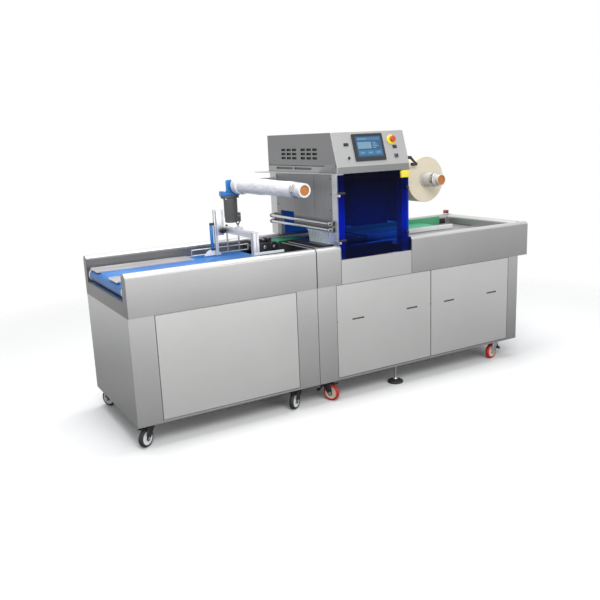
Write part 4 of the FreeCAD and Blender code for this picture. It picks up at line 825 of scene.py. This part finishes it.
# Film dancer on the right of the hood
p = Piece("dancer", "black_plastic", replaces=["film_dancer"])
p.rod("y", (1839, 90, 1402), 9.6, 668, 0.8, 40)
for y in (82, 758):
    p.plate(arc((1839, 1402), 10, -90, 90, 10) + [(1787, 1412), (1787, 1392)], "y", y, y + 8, 1)
p.plate([(1788, 1398), (1796, 1410), (1846, 1409), (1884, 1372), (1877, 1363), (1838, 1394)], "y", 70, 77,
        0.8)
p.box((1850, 1890), (64, 84), (1352, 1370), 3, 3)
p.turned("-y", (1839, 70, 1402), [(10, -13), (10, 2), (8, 4), (0, 4)], 24)
p = Piece("dancer_ends", "zinc")
for y, way in ((82.3, -1), (765.7, 1)):
    p.turned(Vector((0, way, 0)), (1839, y, 1402), [(7, 0), (7, 2.5), (5, 4), (0, 4)], 24)
    p.rod("x", (1786.6, y + 4 * -way, 1402), 8.6, 3, 0.6, 24)

# Gantry: slotted profile bars, a sensor plate, the cross bar's clamps and rods
p = Piece("gantry_profiles", "aluminium", replaces=["gantry_frame"])
p.profile("y", (815, 1000), 34, 236, 632)
p.profile("z", (815, 202), 34, 862, 1031)
p.box((815, 849), (202, 236), (1030.8, 1034), 1)
p.profile("z", (759, 612), 20, 862, 1141)
p.profile("x", (612, 1000), 20, 849, 945)
p.box((759, 779), (632, 729), (862, 866), 0.8)
p.box((759, 779), (716, 729.5), (858, 863), 0.5)
p.box((769, 815), (599.8, 611.8), (986, 1141), 1.2)
p = Piece("guide_fin", "white_plastic")
p.plate(arc((746, 838), 62, 23, 157, 24), "y", 632.2, 636, 0.5)
p = Piece("gantry_end_caps", "black_plastic")
p.box((944.8, 948), (613, 631), (1001, 1019), 1)
p = Piece("gantry_bolts", "zinc")
for z in (1006, 1122):
    p.turned("-y", (804, 599.9, z), [(5, 0), (5, 2), (3.8, 3.4), (0, 3.6)], 20)
for y in (250, 330, 410, 490, 570):
    p.turned("z", (832, y, 1034), [(6, -0.2), (6, 3), (4.6, 4.6), (0, 4.8)], 20)
p = Piece("gantry_clamp", "black_plastic")
p.box((795, 815.2), (566, 598), (1000, 1028), 3, 3)
p.turned("-x", (796, 582, 1014), [(8, 0), (8, 4), (11, 6), (12, 9), (12, 15), (9, 18), (0, 18.5)], 28)
p.box((849, 862), (594, 612), (998, 1016), 2)
p = Piece("wing_nuts", "black_plastic")
for x in (852, 930):
    p.turned("z", (x, 641, 1033.6), [(0, 0), (8, 0), (8, 4), (6, 8), (0, 9)], 24)
for way in (-1, 1):
    p.plate([(930 + 4 * way, 1036), (930 + 13 * way, 1044), (930 + 16 * way, 1052),
            (930 + 10 * way, 1053), (930 + 3 * way, 1043)][::way], "y", 639, 643, 0.8)
p = Piece("guide_rods", "zinc", replaces=["tray_guides"])
for x in (852, 930):
    p.rod("z", (x, 641, 868), 5, 166, 0.8, 20)
    p.box((x - 9, x + 9), (631.9, 650), (1000, 1020), 1.2)
for z in (872, 906):
    p.rod("x", (610, 641, z), 4, 380, 1, 16)
p.rod("z", (610, 641, 868), 4, 42, 1, 16)
p.rod("z", (990, 641, 868), 4, 42, 1, 16)
p = Piece("blue_cylinder", "motor_blue")
p.plate(round_outline((736, 755), (626, 642), 5), "z", 905, 1050, 1)
p = Piece("blue_cylinder_ends", "black_plastic")
p.box((736, 764), (622, 640), (1048, 1062), 2)
p.box((736, 760), (622, 640), (896, 906), 1.5)

# Infeed conveyor: nose caps with their bolts, and lips on the covers
p = Piece("nose_caps", "white_plastic")
for y, way in ((96, -1), (729, 1)):
    for x in (44, 949):
        p.turned(Vector((0, way, 0)), (x, y, 822), [(35.4, -10), (38, -9), (38, 5), (36, 7), (33, 7),
                (32, 4.5), (12, 4.5), (11, 7), (0, 7)], 64)
p = Piece("nose_bolts", "dark_steel")
for y, way in ((89.6, -1), (735.4, 1)):
    for x in (44, 949):
        p.rod(Vector((0, way, 0)), (x, y, 822), 6.5, 5, 0.8, 6)
p = Piece("cover_lips", "grey_cover")
for (y0, y1), x1 in (((185, 340), 862), ((555, 710), 602)):
    for y in (y0, y1 - 3):
        p.box((14, x1), (y, y + 3), (861.8, 867), 0.8)

# Transfer: rollers on bearings between side plates, a pulley and the grippers' slide blocks
p = Piece("transfer_rolls", "black_plastic", replaces=["transfer_rollers"])
for k in range(3):
    p.turned("y", (1026 + 60 * k, 0, 880), [(9, 606), (24, 607), (26, 609), (26, 716), (24, 718),
            (9, 719)], 40)
for y in (590, 715):
    p.plate(round_outline((1000, 1172), (780, 906), 8), "y", y, y + 20, 1.2)
for k in range(4):
    p.box((1012 + 38 * k, 1042 + 38 * k), (632, 700), (904, 922 + 7 * (k % 2)), 4, 3)
p.turned("y", (1050, 640, 930), [(0, 0), (9, 0), (10, 1), (10, 52), (9, 53), (0, 53)], 32)
p.turned("-y", (1146, 590, 880), [(28, -1), (30, 0), (31, 4), (30, 9), (26, 10), (24, 6), (12, 6),
        (10, 10), (0, 10)], 48)
p = Piece("transfer_bearings", "zinc")
for k in range(3):
    for y, way in ((589.8, -1), (735.2, 1)):
        p.turned(Vector((0, way, 0)), (1026 + 60 * k, y, 880), [(11, -1), (11, 3), (8, 5), (0, 5)], 32)
p.turned("-y", (1146, 580.4, 880), [(9, 0), (9, 2), (6, 3.4), (0, 3.4)], 32)
for k in range(4):
    for y in (644, 688):
        p.turned("z", (1027 + 38 * k, y, 921.6 + 7 * (k % 2)), [(5, 0), (5, 2), (3.6, 3.4), (0, 3.6)], 20)
p = Piece("transfer_bed", "rubber", replaces=["green_belts"])
p.box((1196, 1423), (617, 733), (780, 897), 1.5)
p.box((1787.5, 2440), (474, 716), (868, 889), 1)
p = Piece("belts_green", "green_belt")
p.plate([(1425, 888), (1425, 896), (1419, 903), (1410, 905), (1207, 905), (1198, 903), (1192, 896),
        (1192, 888), (1196, 888), (1196, 895), (1201, 900), (1208, 901.5), (1409, 901.5), (1416, 900),
        (1421, 895), (1421, 888)], "y", 615, 735, 0.4)
p.plate(arc((2437.5, 881.5), 13.5, -90, 90, 12) + [(1787.5, 895), (1787.5, 891.5)] + arc((2437.5, 881.5),
        10, 90, -90, 12) + [(1787.5, 871.5), (1787.5, 868)], "y", 470, 720, 0.4)
p = Piece("trough_rods", "zinc")
for x in (1215, 1262):
    p.rod("y", (x, 64, 893), 3.5, 544, 0.5, 16)
# Painted shade: a black sheet on the deck under the trough, where there is only shade
p = Piece("trough_shade_plate", "black_plastic")
p.box((1112, 1299), (62, 588), (780, 783), 1)


# Tray in transfer: thin ribbed walls that flare to a rolled edge
def ribbed(x, y, radius, depth, pitch=17.0, steps=6):
    """A round-cornered outline whose straight sides swell outwards into ribs."""
    corners = round_outline(x, y, radius, 4)
    points = []
    for (ax, ay), (bx, by) in zip(corners, corners[1:] + corners[:1]):
        points.append((ax, ay))
        run = math.hypot(bx - ax, by - ay)
        ribs = int(run / pitch)
        for k in range(1, ribs * steps):
            s = k / (ribs * steps)
            out = depth * math.sin(math.pi * ribs * s) ** 2
            points.append((ax + (bx - ax) * s + (by - ay) / run * out,
                    ay + (by - ay) * s - (bx - ax) / run * out))
    return points


def tray_loop(inset, z, depth):
    """A level of the tray's wall; every level has the ribs of the foot, so that the points match."""
    foot = ribbed((1351, 1421), (241, 489), 10, depth)
    wide, long = (46 - inset) / 35, (135 - inset) / 124
    return [(1386 + (x - 1386) * wide, 365 + (y - 365) * long, z) for x, y in foot]


p = Piece("ribbed_tray", "tray_plastic", replaces=["tray"])
p.loft([tray_loop(12, 906, 0.6), tray_loop(11, 912, 4), tray_loop(6, 970, 4), tray_loop(4, 976, 0),
        tray_loop(0.4, 977, 0), tray_loop(0.2, 981, 0), tray_loop(2, 981, 0), tray_loop(5, 978, 0),
        tray_loop(8, 970, 4), tray_loop(13, 913, 4), tray_loop(14, 908, 0.6)])
p.plate([(x, y) for x, y, _ in tray_loop(12.5, 906, 0)], "z", 905.2, 907.6, 0)

# Outfeed: a rail before the belt, a green guide behind it, end cheeks, and a sensor on its base
p = Piece("outfeed_rail", "white_plastic", replaces=["outfeed_guides"])
p.plate(round_outline((458, 470), (870, 900), 2), "x", 1787.5, 2534, 0.8)
p = Piece("outfeed_back_guide", "green_plastic")
p.plate(round_outline((720, 732), (868, 925), 2), "x", 1787.5, 2640, 0.8)
p = Piece("outfeed_roller", "black_plastic")
for y in (470.4, 712):
    p.plate(round_outline((2424, 2456), (869, 894), 6), "y", y, y + 7.6, 1)
p.box((2641, 2700), (722, 738), (868, 905), 3, 3)
p.rod("y", (2670, 714, 890), 11, 10, 1, 28)
# Painted shadow: a thin black strip along the foot of the outfeed's end wall
p = Piece("end_shade_strip", "rubber")
p.box((2704, 2731), (470, 700), (867.5, 868.6), 0)
p = Piece("sensor_body", "sensor_red", replaces=["outfeed_sensor"], slot="red")
p.box((2733, 2764), (755, 785), (934, 960), 3, 3)
p = Piece("sensor_base", "white_plastic")
p.box((2731, 2765), (753, 787), (929.8, 935), 1.5)
p = Piece("sensor_lens", "rubber")
p.rod("-y", (2748, 755.4, 948), 6, 2.4, 0.4, 24)

# Module seam
p = Piece("module_seams", "rubber")
p.box((1102.4, 1104.6), (6, 794), (126, 704), 0)
# Levelling feet: rubber pad, zinc cone, threaded stem with nuts
p = Piece("foot_pads", "rubber", replaces=["levelling_feet"])
q = Piece("foot_stems", "zinc")
for y in (60, 740):
    p.turned("z", (1698, y, 0), [(0, 0), (46, 0), (50, 3), (50, 8), (47, 13), (36, 19), (22, 24),
            (16, 25), (0, 25)], 64)
    q.turned("z", (1698, y, 0), [(0, 24), (15, 24.5), (14, 28), (10, 33), (8.5, 34), (8, 40), (8, 124)],
            40)
    for z in range(42, 112, 3):
        q.turned("z", (1698, y, z), [(7.9, 0), (8.8, 0.8), (7.9, 1.6)], 24, ring=True)
    q.hexagon("z", (1698, y, 36), 13, 7)
    q.hexagon("z", (1698, y, 115), 15, 9.8)

# Casters: local +x points from the swivel axis to the wheel
PLACES = {
    "infeed_front_left": (75, 62, 212), "infeed_front_right": (975, 62, 212),
    "infeed_rear_left": (75, 738, 120), "infeed_rear_right": (975, 738, 150),
    "sealer_front_left": (1180, 62, 300), "sealer_front_right": (2559, 62, 190),
    "sealer_rear_left": (1180, 738, 60), "sealer_rear_right": (2559, 738, 160),
}
for key, (x, y, angle) in PLACES.items():
    infeed = key.startswith("infeed")
    turn = Matrix.Translation((x, y, 0)) @ Matrix.Rotation(math.radians(angle), 4, "Z")
    wheel, fork = "wheel_" + key, "fork_" + key

    def local(name, look, body, **more):
        piece = Piece(f"{name}_{key}", look, body=body, **more)
        piece.turn = turn
        return piece

    p = local("tyre", "tyre_black" if infeed else "tyre_red", wheel, replaces=[wheel])
    p.turned("y", (33, 0, 50), [(36, -11.5), (38, -13), (43, -13), (47, -11), (49.4, -7), (50, -3),
            (50, 3), (49.4, 7), (47, 11), (43, 13), (38, 13), (36, 11.5)], 64, ring=True)
    p = local("hub", "white_plastic" if infeed else "cream_hub", wheel)
    p.turned("y", (33, 0, 50), [(6.3, -12.5), (11, -12.5), (12, -11), (13, -9), (27, -9), (29, -11.5),
            (36.4, -12.2), (36.4, 12.2), (29, 11.5), (27, 9), (13, 9), (12, 11), (11, 12.5), (6.3, 12.5)],
            64, ring=True)
    for k in range(5):
        t = math.tau * k / 5
        for y in (-9.4, 9.4):
            p.box((33 + 20 * math.cos(t) - 2, 33 + 20 * math.cos(t) + 2), (y - 1, y + 1),
                    (50 + 20 * math.sin(t) - 2, 50 + 20 * math.sin(t) + 2), 0.6)
    dark = infeed or key.endswith("_left")
    p = local("yoke", "black_plastic" if dark else "zinc", fork, replaces=[fork])
    leg = ([(-20, 110), (-20, 96), (-8, 84)] + arc((33, 50), 14, 200, 360, 12) + [(46, 66), (40, 96),
            (39, 110)])
    for low in (-21, 18):
        p.plate(leg, "y", low, low + 3, 0.8)
    p.box((-24, 38), (-21, 21), (105, 111), 2, 3)
    p.turned("z", (0, 0, 0), [(0, 110), (26, 110), (28, 112), (28, 117), (26, 119), (24, 121.5),
            (0, 121.5)], 48)
    p = local("axle", "zinc", fork)
    p.rod("y", (33, -23.5, 50), 5.9, 47, 0.8, 24)
    p.hexagon("y", (33, -26, 50), 9, 5)
    p.hexagon("y", (33, 21, 50), 9, 5)
    p = local("pedal", "rubber" if infeed else "black_plastic", fork)
    p.plate([(36, 106), (50, 104), (70, 106), (80, 110), (79, 112.5), (66, 110.5), (50, 110), (36, 111)],
            "y", -13, 13, 1.2)
    for k in range(4):
        p.box((58 + 5 * k, 60.5 + 5 * k), (-11, 11), (109.4 + 0.4 * k, 112 + 0.3 * k), 0.5)
    if not infeed:
        p.plate([(-19, 104), (-19, 97), (-34, 70), (-44, 52), (-52, 48), (-60, 52), (-63, 60), (-59, 64),
                (-50, 66), (-41, 74), (-27, 100)][::-1], "y", -12, 12, 1.5)
p = Piece("caster_bolts", "zinc")
for x, y, _ in PLACES.values():
    for dx in (-36, 36):
        for dy in (-36, 36):
            p.hexagon("z", (x + dx, y + dy, 117.5), 6.5, 4.8)


# Light, floor, background and camera
world = bpy.data.worlds.new("studio")
bpy.context.scene.world = world
world.use_nodes = True
tree = world.node_tree
background = tree.nodes["Background"]
path = tree.nodes.new("ShaderNodeLightPath")


def camera_or_glass(tree, path):
    """One for the camera's own rays, also those that go through the sheets."""
    return arith(tree, "MAXIMUM", path.outputs["Is Camera Ray"], path.outputs["Is Transmission Ray"])


seen = tree.nodes.new("ShaderNodeMixRGB")
seen.inputs[1].default_value = (0.40, 0.41, 0.42, 1)
seen.inputs[2].default_value = (0.86, 0.86, 0.87, 1)
tree.links.new(path.outputs["Is Glossy Ray"], seen.inputs[0])
shown = tree.nodes.new("ShaderNodeMixRGB")
shown.inputs[2].default_value = (1, 1, 1, 1)
tree.links.new(camera_or_glass(tree, path), shown.inputs[0])
tree.links.new(seen.outputs[0], shown.inputs[1])
tree.links.new(shown.outputs[0], background.inputs["Color"])


def lamp(name, place, target, width, height, power):
    data = bpy.data.lights.new(name, "AREA")
    data.shape = "RECTANGLE"
    data.size, data.size_y, data.energy = width, height, power
    thing = bpy.data.objects.new(name, data)
    bpy.context.scene.collection.objects.link(thing)
    thing.location = place
    thing.rotation_euler = (Vector(target) - Vector(place)).to_track_quat("-Z", "Y").to_euler()


lamp("key", (-1.6, -3.6, 3.6), (0, 0, 0.7), 3.0, 2.0, 120)
lamp("front_fill", (0.6, -4.6, 1.3), (0, 0, 0.6), 3.2, 1.6, 40)
lamp("top", (0, 0.4, 4.2), (0, 0, 0.8), 4.5, 2.5, 150)

floor_mesh = bpy.data.meshes.new("floor")
floor_bm = bmesh.new()
bmesh.ops.create_circle(floor_bm, cap_ends=True, radius=4.2, segments=96)
floor_bm.to_mesh(floor_mesh)
floor_bm.free()
floor = bpy.data.objects.new("floor", floor_mesh)
bpy.context.scene.collection.objects.link(floor)
mat, tree, bsdf = shader("floor", Roughness=0.7)
seen_floor = tree.nodes.new("ShaderNodeLightPath")
tree.links.new(blend_colours(tree, camera_or_glass(tree, seen_floor), (0.34, 0.34, 0.34),
        (0.97, 0.97, 0.97)), bsdf.inputs["Base Color"])
length = tree.nodes.new("ShaderNodeVectorMath")
length.operation = "LENGTH"
tree.links.new(coords(tree, (1, 1, 1)), length.inputs[0])
fade = spread(tree, length.outputs["Value"], 0, 1, 2.0, 3.8)
clear = tree.nodes.new("ShaderNodeBsdfTransparent")
mixed = tree.nodes.new("ShaderNodeMixShader")
tree.links.new(fade, mixed.inputs[0])
tree.links.new(bsdf.outputs[0], mixed.inputs[1])
tree.links.new(clear.outputs[0], mixed.inputs[2])
tree.links.new(mixed.outputs[0], tree.nodes["Material Output"].inputs["Surface"])
floor_mesh.materials.append(mat)

YAW, PITCH, ROLL = (math.radians(a) for a in (29.91, 12.97, 2.37))
ahead = Vector((math.sin(YAW) * math.cos(PITCH), math.cos(YAW) * math.cos(PITCH), -math.sin(PITCH)))
level = Vector((math.cos(YAW), -math.sin(YAW), 0))
below = ahead.cross(level)
right = math.cos(ROLL) * level + math.sin(ROLL) * below
down = math.cos(ROLL) * below - math.sin(ROLL) * level
camera = bpy.data.cameras.new("camera")
camera.lens = 42.68
camera.sensor_width = 36
viewer = bpy.data.objects.new("camera", camera)
bpy.context.scene.collection.objects.link(viewer)
viewer.matrix_world = Matrix.Translation(at((-962, -3385, 1556))) @ Matrix(
    (right, -down, -ahead)).transposed().to_4x4()
bpy.context.scene.camera = viewer
bpy.context.scene.view_settings.view_transform = "Standard"

for piece in Piece.made:
    piece.done()
